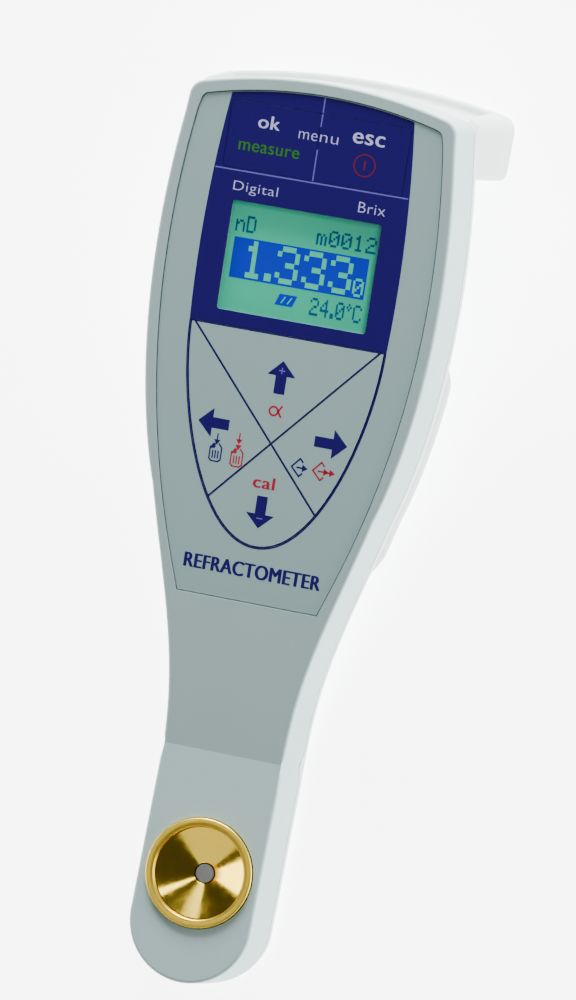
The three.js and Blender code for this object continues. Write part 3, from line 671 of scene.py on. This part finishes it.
inks = {
    "navy": print_ink("navy_ink", srgb(24, 0, 96), 0.55),
    "violet": print_ink("violet_line", srgb(104, 94, 190)),
    "lavender": print_ink("lavender_ink", srgb(188, 188, 232)),
    "green": print_ink("green_ink", srgb(44, 112, 20)),
    "dark_red": print_ink("dark_red_ink", srgb(112, 26, 46)),
    "red": print_ink("red_ink", srgb(168, 24, 54)),
    "lcd_blue": print_ink("lcd_blue", srgb(6, 44, 188), painted_glow=LCD_PAINTED_GLOW),
    "lcd_thin": print_ink("lcd_thin", srgb(16, 84, 128), painted_glow=LCD_PAINTED_GLOW * 0.6),
    "lcd_teal": print_ink("lcd_bright", srgb(64, 196, 160), painted_glow=LCD_PAINTED_GLOW),
}


# ---------------- shells

CREASE_END = len(HEAD_OUTLINE) - 1


def case_loft(name, levels):
    return loft(name, [case_ring(*level) for level in levels], (0, CREASE_END))


def foot_loft(name, levels):
    return loft(name, [foot_ring(*level) for level in levels])


def front_shell():
    levels = [(depth, inset - FACE_GROW) for depth, inset in edge_round(FACE_ROUND, 6)]
    rim, inside = PARTING - GAP / 2, WALL - FACE_GROW
    levels += [(rim, -FACE_GROW), (rim, inside), (FRONT_WALL, inside)]
    shell = case_loft("front_moulding", levels)
    cutters = [
        prism("recess", recess_outline(GAP), -RECESS_DEPTH, 1),
        prism("window", window_outline(0), -FRONT_WALL - 1, 0),
        prism("lcd_pocket", panel_outline(LCD, GAP, 0.5), -FRONT_WALL - 1, -LCD["top"] + GAP),
        cylinder("well", 0, CELL_Y, DISH["radius"] + 0.2, -FRONT_WALL - 1, 1, on_cell, 128),
    ]
    boolean(shell, cutters)
    bevel(shell, 0.18, 3)
    smooth(shell)
    return dress(shell, "case", "shell_grey", ["front_shell"])


def hump_block():
    rounding = edge_round(HUMP["round"], 5)
    sides = [head_loop(HUMP["depth"] - rise, inset - FACE_GROW) for rise, inset in rounding]
    swelling = loft("hump", sides + [head_loop(SLAB - 2, -FACE_GROW)])
    ends = []
    for depth, spread in ((HUMP["depth"], 0), (SLAB - 1, HUMP["draft"])):
        across = round_rectangle(-50, 50, HUMP["low"] - spread, HUMP["high"] + spread, 1, 2)
        ends.append([on_head(x, y, -depth) for x, y in across])
    return boolean(swelling, [loft("ends", ends)], "INTERSECT")


def head_loop(depth, inset):
    return [on_head(x, y, -depth) for x, y in head_line(depth, inset)]


def scoop_cutter():
    box = round_rectangle(-SCOOP["half"], SCOOP["half"], FOOT["out"] - 20, FOOT["out"] + 10, 2)
    rings = [[mm(x, y + CREASE_Y, level) for x, y in box] for level in (SCOOP["low"], SCOOP["high"])]
    core = foot_loft("core", [(0, SCOOP["depth"]), (FOOT_HEIGHT, SCOOP["depth"])])
    return boolean(loft("scoop", rings), [core])


def ahead_of_parting():
    """Everything in front of the joint between the shells, for cutting it away."""
    level = -PARTING - GAP / 2
    shift = -level * math.tan(TILT / 2)
    blocks = []
    for place, low, high in ((on_head, -shift, 190), (on_cell, -90, shift)):
        blocks.append(prism("ahead", rectangle(-60, 60, low, high), level, 60, place))
    return blocks


def rear_shell():
    levels = [(SLAB - rise, inset - FACE_GROW) for rise, inset in edge_round(BACK_ROUND, 6)]
    levels.append((PARTING - 3, -FACE_GROW))
    shell = case_loft("rear_moulding", levels)
    foot_top = FOOT_HEIGHT - 4
    foot = foot_loft("foot", edge_round(FOOT_ROUND, 6) + [(foot_top, 0)])
    boolean(shell, [foot, hump_block()], "UNION")
    boolean(shell, [scoop_cutter()])
    modify(shell, "REMESH", mode="VOXEL", voxel_size=0.55 * MM)
    modify(shell, "SMOOTH", factor=0.5, iterations=7)
    apply_modifiers(shell)
    inside = WALL - FACE_GROW
    cavity = case_loft("cavity", [(SLAB - BACK_WALL, inside), (PARTING - 4, inside)])
    foot_cavity = foot_loft("foot_cavity", [(BACK_WALL, FOOT_WALL), (foot_top, FOOT_WALL)])
    boolean(shell, ahead_of_parting() + [cavity, foot_cavity])
    tub_top = -TUB["top"]
    tub = panel_outline(TUB, TUB["wall"], 0.8)
    boolean(shell, [prism("tub", tub, -SLAB + 0.5, tub_top + TUB["wall"])], "UNION")
    deep = -HUMP["depth"]
    cutters = [
        prism("well", panel_outline(TUB, 0, 0.6), deep - 1, tub_top),
        prism("seat", door_outline(GAP), deep - 1, deep + DOOR["thick"] + GAP),
        cylinder("door_hole", 0, DOOR_SCREW_V, SCREW["hole"], deep, -DOOR_HOLE_END),
    ]
    for u, v in CASE_SCREWS:
        cutters.append(cylinder("bore", u, v, SCREW["head"] + GAP, -SLAB - 1, -CASE_SCREW_SEAT))
    boolean(shell, cutters)
    smooth(shell, 30)
    return dress(shell, "case", "shell_white", ["rear_shell"])


# ---------------- battery door and screws


def door_outline(grow):
    return panel_outline(DOOR, grow, DOOR["round"] + grow, 8)


def battery_door():
    deep = -HUMP["depth"]
    door = prism("door_panel", door_outline(0), deep, deep + DOOR["thick"])
    sunk = SCREW["head"] + GAP
    cutters = [
        cylinder("sunk", 0, DOOR_SCREW_V, sunk, deep - 1, deep + 1.2),
        cylinder("hole", 0, DOOR_SCREW_V, SCREW["hole"], deep - 1, deep + 5),
    ]
    half, reach = GRIP["width"] / 2, GRIP["half"]
    for i in range(GRIP["count"]):
        v = DOOR["low"] + GRIP["first"] + GRIP["pitch"] * i
        groove = round_rectangle(-reach, reach, v - half, v + half, 0.9 * half)
        cutters.append(prism("groove", groove, deep - 1, deep + GRIP["deep"]))
    boolean(door, cutters)
    bevel(door, 0.25, 3)
    smooth(door)
    return dress(door, "battery_door", "shell_white", ["battery_door"])


def screw(name, node, u, v, face, body):
    """Pan head with a cross recess, and its shank."""
    low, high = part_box(node)
    length = (high[2] - low[2]) / MM * 0.9
    radius, shank, neck = SCREW["head"], SCREW["shank"], face + SCREW["thick"]
    head = [(0, face), (radius - 0.5, face), (radius, face + 0.5), (radius, neck)]
    end = [(shank, neck), (shank, face + length - 0.6), (shank / 2, face + length), (0, face + length)]
    piece = turned(name, head + end, u, v, on_head, 48)
    reach, half = SCREW["slot"], SCREW["slot_half"]
    slots = []
    for half_u, half_v in ((reach, half), (half, reach)):
        outline = rectangle(u - half_u, u + half_u, v - half_v, v + half_v)
        slots.append(prism("cross", outline, face - 1, face + 0.8))
    boolean(piece, slots)
    smooth(piece)
    return dress(piece, body, "steel", [node])


def screws():
    for i, (u, v) in enumerate(CASE_SCREWS):
        screw(f"case_fastener_{i + 1}", f"case_screw_{i + 1}", u, v, -CASE_SCREW_FACE, "case")
    screw("door_fastener", "door_screw", 0, DOOR_SCREW_V, -HUMP["depth"] + 0.1, "battery_door")


# ---------------- batteries


def battery_cells():
    """Two cells that lie across the head, end to end opposite ways."""
    radius, length, depth = BATTERY["radius"], BATTERY["length"], BATTERY["depth"]
    nub_radius, nub = BATTERY["nub_radius"], BATTERY["nub"]
    start = TUB["half"] - 1 - length - nub
    can_end = [(0, 0.1), (radius - 1.0, 0.1), (radius - 0.9, 0), (radius - 0.35, 0), (radius, 0.35)]
    top = length - 0.1
    crimp = [(radius, length - 0.5), (radius - 0.4, top), (radius - 0.9, top)]
    groove = [(radius - 1.0, length - 0.4), (nub_radius + 0.7, length - 0.4), (nub_radius + 0.6, top)]
    tip = length + nub
    cap = [(nub_radius, top), (nub_radius, tip - 0.25), (nub_radius - 0.3, tip), (0, tip)]
    profile = can_end + crimp + groove + cap
    for i, v in enumerate(BATTERY["v"]):
        side = BATTERY["side"][i]

        def place(a, b, height):
            return on_head(side * (start + height), v + b, a - depth)

        cell = turned(f"cell_{i + 1}", profile, 0, 0, place, 64)
        axis_point = place(0, 0, 0)
        along = (place(0, 0, 1) - axis_point) / MM
        paint(cell, looks["cell_jacket"], looks["steel"], looks["shell_grey"])
        for face in cell.data.polygons:
            height = (face.center - axis_point).dot(along) / MM
            from_axis = (face.center - axis_point - along * height * MM).length / MM
            if from_axis < radius - 0.95:
                face.material_index = 1
            elif length - 9 < height < length - 6:
                face.material_index = 2
        smooth(cell, 30)
        seat(cell, "case", [f"battery_{i + 1}"])


# ---------------- keypad film, keys, print

FILM_TOP = -OVERLAY_SINK
INK_LIFT = 0.015
TILE_GAP = 0.2  # between the arrow keys
PANEL_GAP = 0.12  # round the two upper keys
RIM_LINE = 0.12  # printed edge of a key
SHIELD_LINE = 0.4
THIN = -0.012  # weight of the light lettering
CUT = (-5, 5)  # a cutter's reach through the film


def keypad_film():
    low = FILM_TOP - OVERLAY_THICK
    sheet = prism("keypad_film", recess_outline(0), low, FILM_TOP)
    upper_keys = panel_outline(TOP_KEYS, 0, TOP_KEYS["round"])
    outlines = (upper_keys, window_outline(0), shield_outline(0))
    holes = [prism("hole", outline, *CUT) for outline in outlines]
    paint(sheet, looks["overlay_grey"])
    for hole in holes:
        paint(hole, inks["navy"])
    boolean(sheet, holes)
    bevel(sheet, 0.05)
    smooth(sheet)
    return seat(sheet, "case", ["keypad_overlay"])


def key_wedge(direction_u, direction_v):
    across, along = CROSS_REACH, CROSS_REACH * CROSS_SLOPE
    if direction_v == 0:
        far = [(direction_u * across, -along), (direction_u * across, along)]
    else:
        far = [(across, direction_v * along), (-across, direction_v * along)]
    return [(0, CROSS_V)] + [(x, CROSS_V + y) for x, y in far]


def key_tile(node, outline, look, cutters=(), wedge=None):
    tile = prism(node.replace("key", "tile"), outline, FILM_TOP - KEY_THICK, FILM_TOP)
    if wedge:
        boolean(tile, [prism("wedge", wedge, *CUT)], "INTERSECT")
    if cutters:
        boolean(tile, list(cutters))
    bevel(tile, 0.05)
    paint(tile, look, inks["navy"])
    paint_rim(tile)
    smooth(tile)
    return seat(tile, node, [node])


def paint_rim(tile):
    """Gives a tile's sides and the edge of its top the second material."""
    up = (HEAD.to_3x3() @ Vector((0, 0, 1))).normalized()
    work = bmesh.new()
    work.from_mesh(tile.data)
    work.normal_update()
    tops = [face for face in work.faces if face.normal.dot(up) > 0.995]
    for face in work.faces:
        face.material_index = 1
    for face in tops:
        face.material_index = 0
    rim = bmesh.ops.inset_region(work, faces=tops, thickness=RIM_LINE * MM, use_even_offset=True)
    for face in rim["faces"]:
        face.material_index = 1
    work.to_mesh(tile.data)
    work.free()


def cross_bars():
    bars = []
    for sign in (1, -1):
        angle = math.atan(CROSS_SLOPE) * sign
        along = Vector((math.cos(angle), math.sin(angle))) * CROSS_REACH
        centre = Vector((0, CROSS_V))
        bars.append(prism("bar", bar(*(centre - along), *(centre + along), TILE_GAP), *CUT))
    return bars


def keys():
    half, corner, gap = TOP_KEYS["half"], TOP_KEYS["round"] * 0.6, PANEL_GAP
    low, high = TOP_KEYS["low"] + gap, TOP_KEYS["high"] - gap
    left = round_rectangle(-half + gap, -gap / 2, low, high, corner)
    right = round_rectangle(gap / 2, half - gap, low, high, corner)
    key_tile("key_ok", left, inks["navy"])
    key_tile("key_esc", right, inks["navy"])
    for name, direction in (
        ("key_up", (0, 1)),
        ("key_down", (0, -1)),
        ("key_left", (-1, 0)),
        ("key_right", (1, 0)),
    ):
        outline, wedge = shield_outline(TILE_GAP), key_wedge(*direction)
        key_tile(name, outline, looks["overlay_grey"], cross_bars(), wedge)


def ink(name, outlines, colour, body="case", lift=INK_LIFT, level=FILM_TOP, slot="overlay_grey"):
    """A printed patch: outlines as thin plates on the film. A pair (outline, holes) is pierced."""

    def build(work):
        for item in outlines:
            outer, holes = item if isinstance(item, tuple) else (item, [])
            fill_plate(work, outer, holes, level + lift * 0.3, level + lift)

    piece = add_object(name, mesh_from(build, name))
    return dress(piece, body, slot, (), inks[colour])


def fill_plate(work, outer, holes, low, high):
    """Adds a closed plate with holes, between two heights over the head's face."""
    loops = [outer] + holes
    flat = [point for loop in loops for point in loop]
    faces = tessellate_polygon([[Vector((x, y, 0)) for x, y in loop] for loop in loops])
    bottom = [work.verts.new(on_head(x, y, low)) for x, y in flat]
    top = [work.verts.new(on_head(x, y, high)) for x, y in flat]
    for a, b, c in faces:
        work.faces.new((top[a], top[b], top[c]))
        work.faces.new((bottom[c], bottom[b], bottom[a]))
    start = 0
    for loop in loops:
        count = len(loop)
        for i in range(count):
            a, b = start + i, start + (i + 1) % count
            work.faces.new((bottom[a], bottom[b], top[b], top[a]))
        start += count


def bar(x0, y0, x1, y1, width):
    """A straight stroke as a closed outline."""
    along = Vector((x1 - x0, y1 - y0)).normalized() * width / 2
    return [
        (x0 + along.y, y0 - along.x),
        (x1 + along.y, y1 - along.x),
        (x1 - along.y, y1 + along.x),
        (x0 - along.y, y0 + along.x),
    ]


def ring_band(x, y, radius, width, count=48):
    return circle(x, y, radius, count), [circle(x, y, radius - width, count)]


def words(name, text, colour, u_span, v_span, body="case", bold=0.0, weight=0.0):
    """Lettering fitted into a box on the film. bold thickens the upright strokes by shifting."""
    curve = bpy.data.curves.new(name, "FONT")
    curve.body = text
    curve.extrude = 0.004
    curve.resolution_u = 6
    curve.space_character = 1.06
    curve.offset = weight
    source = add_object(name + "_curve", curve)
    graph = bpy.context.evaluated_depsgraph_get()
    graph.update()
    letters = bpy.data.meshes.new_from_object(source.evaluated_get(graph))
    bpy.data.objects.remove(source)
    co = np.array([vertex.co for vertex in letters.vertices])
    low, high = co.min(axis=0), co.max(axis=0)
    scale_u = (u_span[1] - u_span[0] - 2 * bold) / (high[0] - low[0])
    scale_v = (v_span[1] - v_span[0]) / (high[1] - low[1])
    work = bmesh.new()
    shifts = (0.0, bold, 2 * bold) if bold else (0.0,)
    for turn, shift in enumerate(shifts):
        first = len(work.verts)
        work.from_mesh(letters)
        work.verts.ensure_lookup_table()
        for vertex in work.verts[first:]:
            x, y, z = vertex.co
            lift = INK_LIFT * ((1.0 + 0.1 * turn) if z > 0 else 0.4)
            u = u_span[0] + (x - low[0]) * scale_u + shift
            v = v_span[0] + (y - low[1]) * scale_v
            vertex.co = on_head(u, v, FILM_TOP + lift)
    mesh = bpy.data.meshes.new(name)
    work.to_mesh(mesh)
    work.free()
    return dress(add_object(name, mesh), body, "overlay_grey", (), inks[colour])


def navy_field():
    """The navy panel round the window, printed on the film between the keys."""
    edge = bezier(NAVY_SIDE, 40)
    margin = 0.15
    start = math.acos(edge[-1][0] / OVERLAY_TOP_RADIUS)
    centre = OVERLAY_TOP_V - OVERLAY_TOP_RADIUS
    top = arc(0, centre, OVERLAY_TOP_RADIUS - margin, start, math.pi / 2, 16)
    right = edge[:-1] + top[:-1]
    outline = right + [(0.0, OVERLAY_TOP_V - margin)] + mirrored(right)
    upper_keys = panel_outline(TOP_KEYS, 0, TOP_KEYS["round"])
    holes = [upper_keys[::-1], window_outline(0.0)[::-1]]
    ink("navy_print", [(outline, holes)], "navy", lift=0.01, slot="navy_field")


def field_lines():
    low, high = TOP_KEYS["low"], TOP_KEYS["high"]
    line = 0.35
    side = PANEL_GAP / 2 + line / 2
    ink("rule_across", [bar(-25.3, low - 0.25, 25.3, low - 0.25, line)], "violet")
    ink("rule_top", [bar(side, high + 0.1, side, OVERLAY_TOP_V - 0.3, line)], "violet")
    ink("rule_upper", [bar(side, 160.0, side, high - 0.2, line)], "violet", "key_esc")
    ink("rule_lower", [bar(side, low + 0.2, side, 154.3, line)], "violet", "key_esc")
    outer = [(x, min(y, CROSS_TOP)) for x, y in shield_right(-SHIELD_LINE)]
    inner = [(x, min(y, CROSS_TOP)) for x, y in shield_right(-0.02)]
    band = outer + inner[::-1]
    left = [(-x, y) for x, y in band][::-1]
    ink("shield_line", [band, left], "navy")


def arrow(u, v, direction, head_half, head_length, stem_half, stem_length):
    """A plain block arrow whose tip is at u, v."""
    tip = Vector((u, v))
    along = Vector(direction)
    aside = Vector((along.y, -along.x))
    neck = tip - along * head_length
    end = neck - along * stem_length
    points = [
        tip,
        neck - aside * head_half,
        neck - aside * stem_half,
        end - aside * stem_half,
        end + aside * stem_half,
        neck + aside * stem_half,
        neck + aside * head_half,
    ]
    return [tuple(point) for point in points]


def strokes(points, width):
    """Straight strokes through the points, each a little long so that the corners close."""
    shapes = []
    for start, end in zip(points, points[1:]):
        start, end = Vector(start), Vector(end)
        along = (end - start).normalized() * width * 0.4
        shapes.append(bar(*(start - along), *(end + along), width))
    return shapes


def bin_icon(x, y, arrows):
    """A small round waste bin with a part-open lid, and arrows that drop into it."""
    line = 0.36
    wall = [(-1.5, 3.6), (-1.5, 0.6), (-0.9, 0.05), (0.9, 0.05), (1.5, 0.6), (1.5, 3.6), (0.7, 4.5)]
    shapes = strokes([(x + a, y + b) for a, b in wall], line)
    shapes.append([(x - 1.65, y + 3.1), (x - 0.2, y + 3.4), (x - 0.2, y + 4.6), (x - 0.9, y + 4.6)])
    for stave in (-0.7, 0, 0.7):
        shapes.append(bar(x + stave, y + 0.75, x + stave, y + 2.8, line))
    for i in range(arrows):
        foot = y + 4.2 + 1.45 * i
        shapes.append([(x, foot), (x + 0.85, foot + 1.35), (x - 0.85, foot + 1.35)])
    top = y + 4.2 + 1.45 * arrows
    shapes.append(bar(x, top - 0.4, x, top + 1.5, line))
    return shapes


def send_icon(x, y, heads):
    """An open diamond with arrows that leave it to the right."""
    line = 0.42
    shape = [(0.8, 1.5), (0.0, 2.3), (-2.0, 0.0), (0.2, -2.2), (0.9, -1.4)]
    shapes = strokes([(x + a, y + b) for a, b in shape], line)
    shapes.append(bar(x - 0.7, y, x + 1.2 + 1.5 * (heads - 1), y, line))
    for i in range(heads):
        tip = x + 2.3 + 1.6 * i
        shapes.append([(tip, y), (tip - 1.5, y + 0.95), (tip - 1.5, y - 0.95)])
    return shapes


def key_print():
    for way, u, v, direction, head_length, stem_half, stem_length in (
        ("up", 0, 100.7, (0, 1), 3.8, 1.45, 4.6),
        ("down", 0, 58.0, (0, -1), 3.6, 1.4, 4.6),
        ("left", -19.7, 82.3, (-1, 0), 3.8, 1.35, 4.4),
        ("right", 19.7, 82.3, (1, 0), 3.8, 1.35, 4.8),
    ):
        shape = arrow(u, v, direction, 3.7, head_length, stem_half, stem_length)
        ink(f"arrow_{way}", [shape], "navy", f"key_{way}")
    plus = [bar(-0.8, 98.2, 0.8, 98.2, 0.3), bar(0, 97.4, 0, 98.05, 0.3), bar(0, 98.35, 0, 99.0, 0.3)]
    ink("plus_sign", plus, "violet", "key_up", lift=0.03)
    ink("minus_sign", [bar(-0.8, 60.5, 0.8, 60.5, 0.3)], "violet", "key_down", lift=0.03)
    loop = ring_band(-0.6, 87.9, 1.35, 0.5)
    tail = [bar(1.5, 89.5, 0.5, 87.8, 0.45), bar(0.5, 88.0, 1.5, 86.5, 0.5)]
    ink("alpha_sign", [loop] + tail, "red", "key_up")
    words("cal_word", "cal", "red", (-3.1, 2.7), (68.1, 71.2), "key_down", 0.14)
    ink("bin_one", bin_icon(-14.0, 72.7, 1), "navy", "key_left")
    ink("bin_all", bin_icon(-8.3, 72.3, 2), "red", "key_left")
    ink("send_one", send_icon(8.2, 75.0, 1), "navy", "key_right")
    ink("send_all", send_icon(13.8, 75.0, 2), "red", "key_right")


def upper_key_print():
    for row in (
        ("ok_word", "ok", "lavender", (-16.0, -10.2), (157.3, 160.6), "key_ok", 0.1),
        ("measure_word", "measure", "green", (-20.2, -4.2), (151.1, 153.3), "key_ok", 0.06),
        ("menu_word_left", "me", "lavender", (-5.1, -0.25), (156.3, 158.2), "key_ok", 0, THIN),
        ("menu_word_right", "nu", "lavender", (0.45, 5.2), (156.3, 158.2), "key_esc", 0, THIN),
        ("esc_word", "esc", "lavender", (8.8, 17.2), (157.5, 160.2), "key_esc", 0.1),
    ):
        words(*row)
    sign = [ring_band(12.9, 152.3, 2.9, 0.34), bar(12.9, 151.1, 12.9, 153.5, 0.42)]
    ink("power_sign", sign, "dark_red", "key_esc")


def film_print():
    words("kind_word", "Digital", "lavender", (-19.9, -8.2), (140.2, 143.3), "case", 0, THIN)
    words("scale_word", "Brix", "lavender", (13.0, 20.0), (140.7, 143.3), "case", 0, THIN)
    words("noun_word", "REFRACTOMETER", "navy", (-17.9, 18.4), (45.2, 48.9), "case", 0.2)


# ---------------- display

GLYPHS = {
    "0": "01110 10001 10011 10101 11001 10001 01110",
    "1": "00100 01100 00100 00100 00100 00100 01110",
    "2": "01110 10001 00001 00110 01000 10000 11111",
    "3": "01110 10001 00001 00110 00001 10001 01110",
    "4": "00010 00110 01010 10010 11111 00010 00010",
    "n": "00000 00000 10110 11001 10001 10001 10001",
    "D": "11110 10001 10001 10001 10001 10001 11110",
    "m": "00000 00000 11010 10101 10101 10101 10101",
    "C": "01110 10001 10000 10000 10000 10001 01110",
    "o": "010 101 010 000 000 000 000",
    ".": "00 00 00 00 00 11 11",
}


def pixel_text(text, u, v, cell_u, cell_v):
    """Squares of a five by seven dot font, with v at the foot of the letters."""
    squares = []
    for letter in text:
        for row, bits in enumerate(GLYPHS[letter].split()):
            for column, bit in enumerate(bits):
                if bit == "0":
                    continue
                x = u + column * cell_u
                y = v + (6 - row) * cell_v
                squares.append(rectangle(x, x + cell_u, y, y + cell_v))
        u += cell_u * (len(bits) + 1)
    return squares


def lcd_ink(name, outlines, colour, lift=0.02):
    level = -LCD["top"]
    return ink(name, outlines, colour, "case", lift, level, "lcd_teal")


def display():
    band = round_rectangle(-18.1, 17.4, 119.1, 129.4, 0.05, 1)
    lcd_ink("lcd_band", [band], "lcd_blue")
    big_u, big_v = 1.17, 1.34
    big = pixel_text("1", -15.2, 119.6, big_u, big_v)
    big.append(rectangle(-9.0, -7.2, 119.6, 121.5))
    big += pixel_text("333", -6.3, 119.6, big_u, big_v)
    big += pixel_text("0", 14.2, 119.6, 0.55, 0.66)
    lcd_ink("lcd_reading", big, "lcd_teal", 0.05)
    lcd_ink("lcd_quantity", pixel_text("nD", -18.3, 130.8, 0.48, 0.6), "lcd_thin")
    lcd_ink("lcd_count", pixel_text("m0012", 3.0, 130.8, 0.54, 0.58), "lcd_thin")
    lcd_ink("lcd_degrees", pixel_text("24.0oC", 4.0, 113.1, 0.45, 0.64), "lcd_thin")
    slant = [(-5.2, 114.2), (-0.6, 114.2), (0.4, 117.1), (-4.2, 117.1)]
    lcd_ink("lcd_state", [slant], "lcd_blue")
    marks = [bar(-3.6, 114.8, -2.6, 116.5, 0.3), bar(-1.9, 114.8, -0.9, 116.5, 0.3)]
    lcd_ink("lcd_state_marks", marks, "lcd_teal", 0.05)


def window_pane():
    low, high = FILM_TOP - OVERLAY_THICK, FILM_TOP - 0.1
    pane = prism("window_pane", window_outline(-0.15), low, high)
    bevel(pane, 0.08)
    smooth(pane)
    return dress(pane, "case", "clear_plastic", ["display_window"])


# ---------------- sample cell


def sample_dish():
    """Flat ring with rounded edges, a small step inside it, and the cone down to the prism."""
    radius, mouth, top, skirt = DISH["radius"], DISH["mouth"], DISH["lip"], DISH["skirt"]
    floor_radius, floor = DISH["floor_radius"], DISH["floor"]
    edge = 0.45
    rim = arc(radius - edge, top - edge, edge, 0, math.pi / 2, 8)
    rim += [(radius - 1.1, top), (radius - 1.5, top - 0.04)]
    rim += arc(mouth + 0.1 + edge, top - 0.1 - edge, edge, math.pi / 2, math.pi, 8)
    profile = [
        (floor_radius, floor - 2.4),
        (floor_radius + 1.6, floor - 2.4),
        (radius - 1.5, skirt - 0.8),
        (radius - 1.2, skirt),
        (radius, skirt),
        *rim,
        (mouth + 0.05, -0.35),
        (mouth - 0.3, -0.45),
        (floor_radius + 0.2, floor + 0.1),
        (floor_radius, floor - 0.05),
    ]
    dish = turned("sample_dish", profile, 0, CELL_Y, on_cell, 160)
    paint(dish, looks["gold"], looks["satin_gold"])
    for face in dish.data.polygons:
        if face.center.z > on_cell(0, 0, -0.2).z:
            face.material_index = 1
    smooth(dish, 28)
    return seat(dish, "case", ["cell_dish"])


def prism_face():
    radius, top, edge = STONE["radius"], STONE["top"], 0.12
    face = [(0, top), (radius - edge, top), (radius, top - edge), (radius, STONE["shoulder"])]
    profile = face + [(STONE["foot_radius"], STONE["foot"] + 0.1), (0, STONE["foot"])]
    stone = turned("prism_stone", profile, 0, CELL_Y, on_cell, 64)
    smooth(stone)
    return dress(stone, "case", "sapphire", ["prism"])


# ---------------- carried-over CAD nodes


def dress_cad_nodes():
    slots = {row["node"]: row["material_slot"] for row in frame["record"]["subparts"]}
    for name, node in frame["nodes"].items():
        for slot in node.material_slots:
            slot.material = looks[slots[name]]


# ---------------- stage


def stage():
    work = bmesh.new()
    bmesh.ops.create_grid(work, x_segments=1, y_segments=1, size=12.0)
    mesh = bpy.data.meshes.new("floor")
    work.to_mesh(mesh)
    work.free()
    floor = add_object("floor", mesh)
    floor.location.z = -0.0002
    look = Look("pale_floor", srgb(246, 247, 247), 0.7)
    look.vary_roughness(8.0, 0.65, 0.75)
    look.shade(Emission_Color=(1, 1, 1, 1), Emission_Strength=6.0)
    floor.data.materials.append(look.material)


def lights():
    world = bpy.data.worlds.new("studio")
    bpy.context.scene.world = world
    world.use_nodes = True
    back = world.node_tree.nodes["Background"]
    back.inputs["Color"].default_value = (1, 1, 1, 1)
    back.inputs["Strength"].default_value = 0.06
    panels = (
        ("top_key", 98, 16, 1.2, (0.85, 0.4), 53),
        ("top_high", 92, 33, 1.2, (1.0, 0.3), 2.4),
        ("right_low", 5, 8, 1.1, (0.9, 0.28), 11.5),
        ("right_high", 43, 46, 1.1, (0.16, 0.3), 0.9),
        ("left_low", 190, 17, 1.1, (0.6, 0.3), 3.5),
        ("front_fill", 257, 31, 1.2, (1.8, 0.55), 3),
        ("overhead", 173, 75, 1.2, (0.3, 0.3), 1.0),
    )
    for name, around, rise, distance, size, power in panels:
        panel_light(name, math.radians(around), math.radians(rise), distance, size, power)


def panel_light(name, around, rise, distance, size, power):
    """A soft panel at an angle round the object and an angle above the floor."""
    lamp = bpy.data.lights.new(name, "AREA")
    lamp.shape = "RECTANGLE"
    lamp.size, lamp.size_y = size
    lamp.energy = power
    holder = add_object(name, lamp)
    flat = math.cos(rise)
    towards = Vector((flat * math.cos(around), flat * math.sin(around), math.sin(rise)))
    holder.location = Vector((0.0, -0.02, 0.03)) + towards * distance
    holder.rotation_euler = (-towards).to_track_quat("-Z", "Y").to_euler()


def camera():
    data = bpy.data.cameras.new("camera")
    data.sensor_width = 36
    data.lens = 188.7
    data.clip_start = 0.05
    data.clip_end = 20
    holder = add_object("camera", data)
    forward = Vector((-0.2604, 0.0291, -0.9651)).normalized()
    up = Vector((-0.178, 0.981, 0.0775))
    right = forward.cross(up).normalized()
    up = right.cross(forward).normalized()
    turn = Matrix((right, up, -forward)).transposed().to_4x4()
    holder.matrix_world = Matrix.Translation(mm(349.2, CREASE_Y + 27.5, 1296.3)) @ turn
    bpy.context.scene.camera = holder


# ---------------- making it all

dress_cad_nodes()
front_shell()
rear_shell()
battery_door()
screws()
battery_cells()
keypad_film()
keys()
navy_field()
field_lines()
key_print()
upper_key_print()
film_print()
window_pane()
display()
sample_dish()
prism_face()
stage()
lights()
camera()
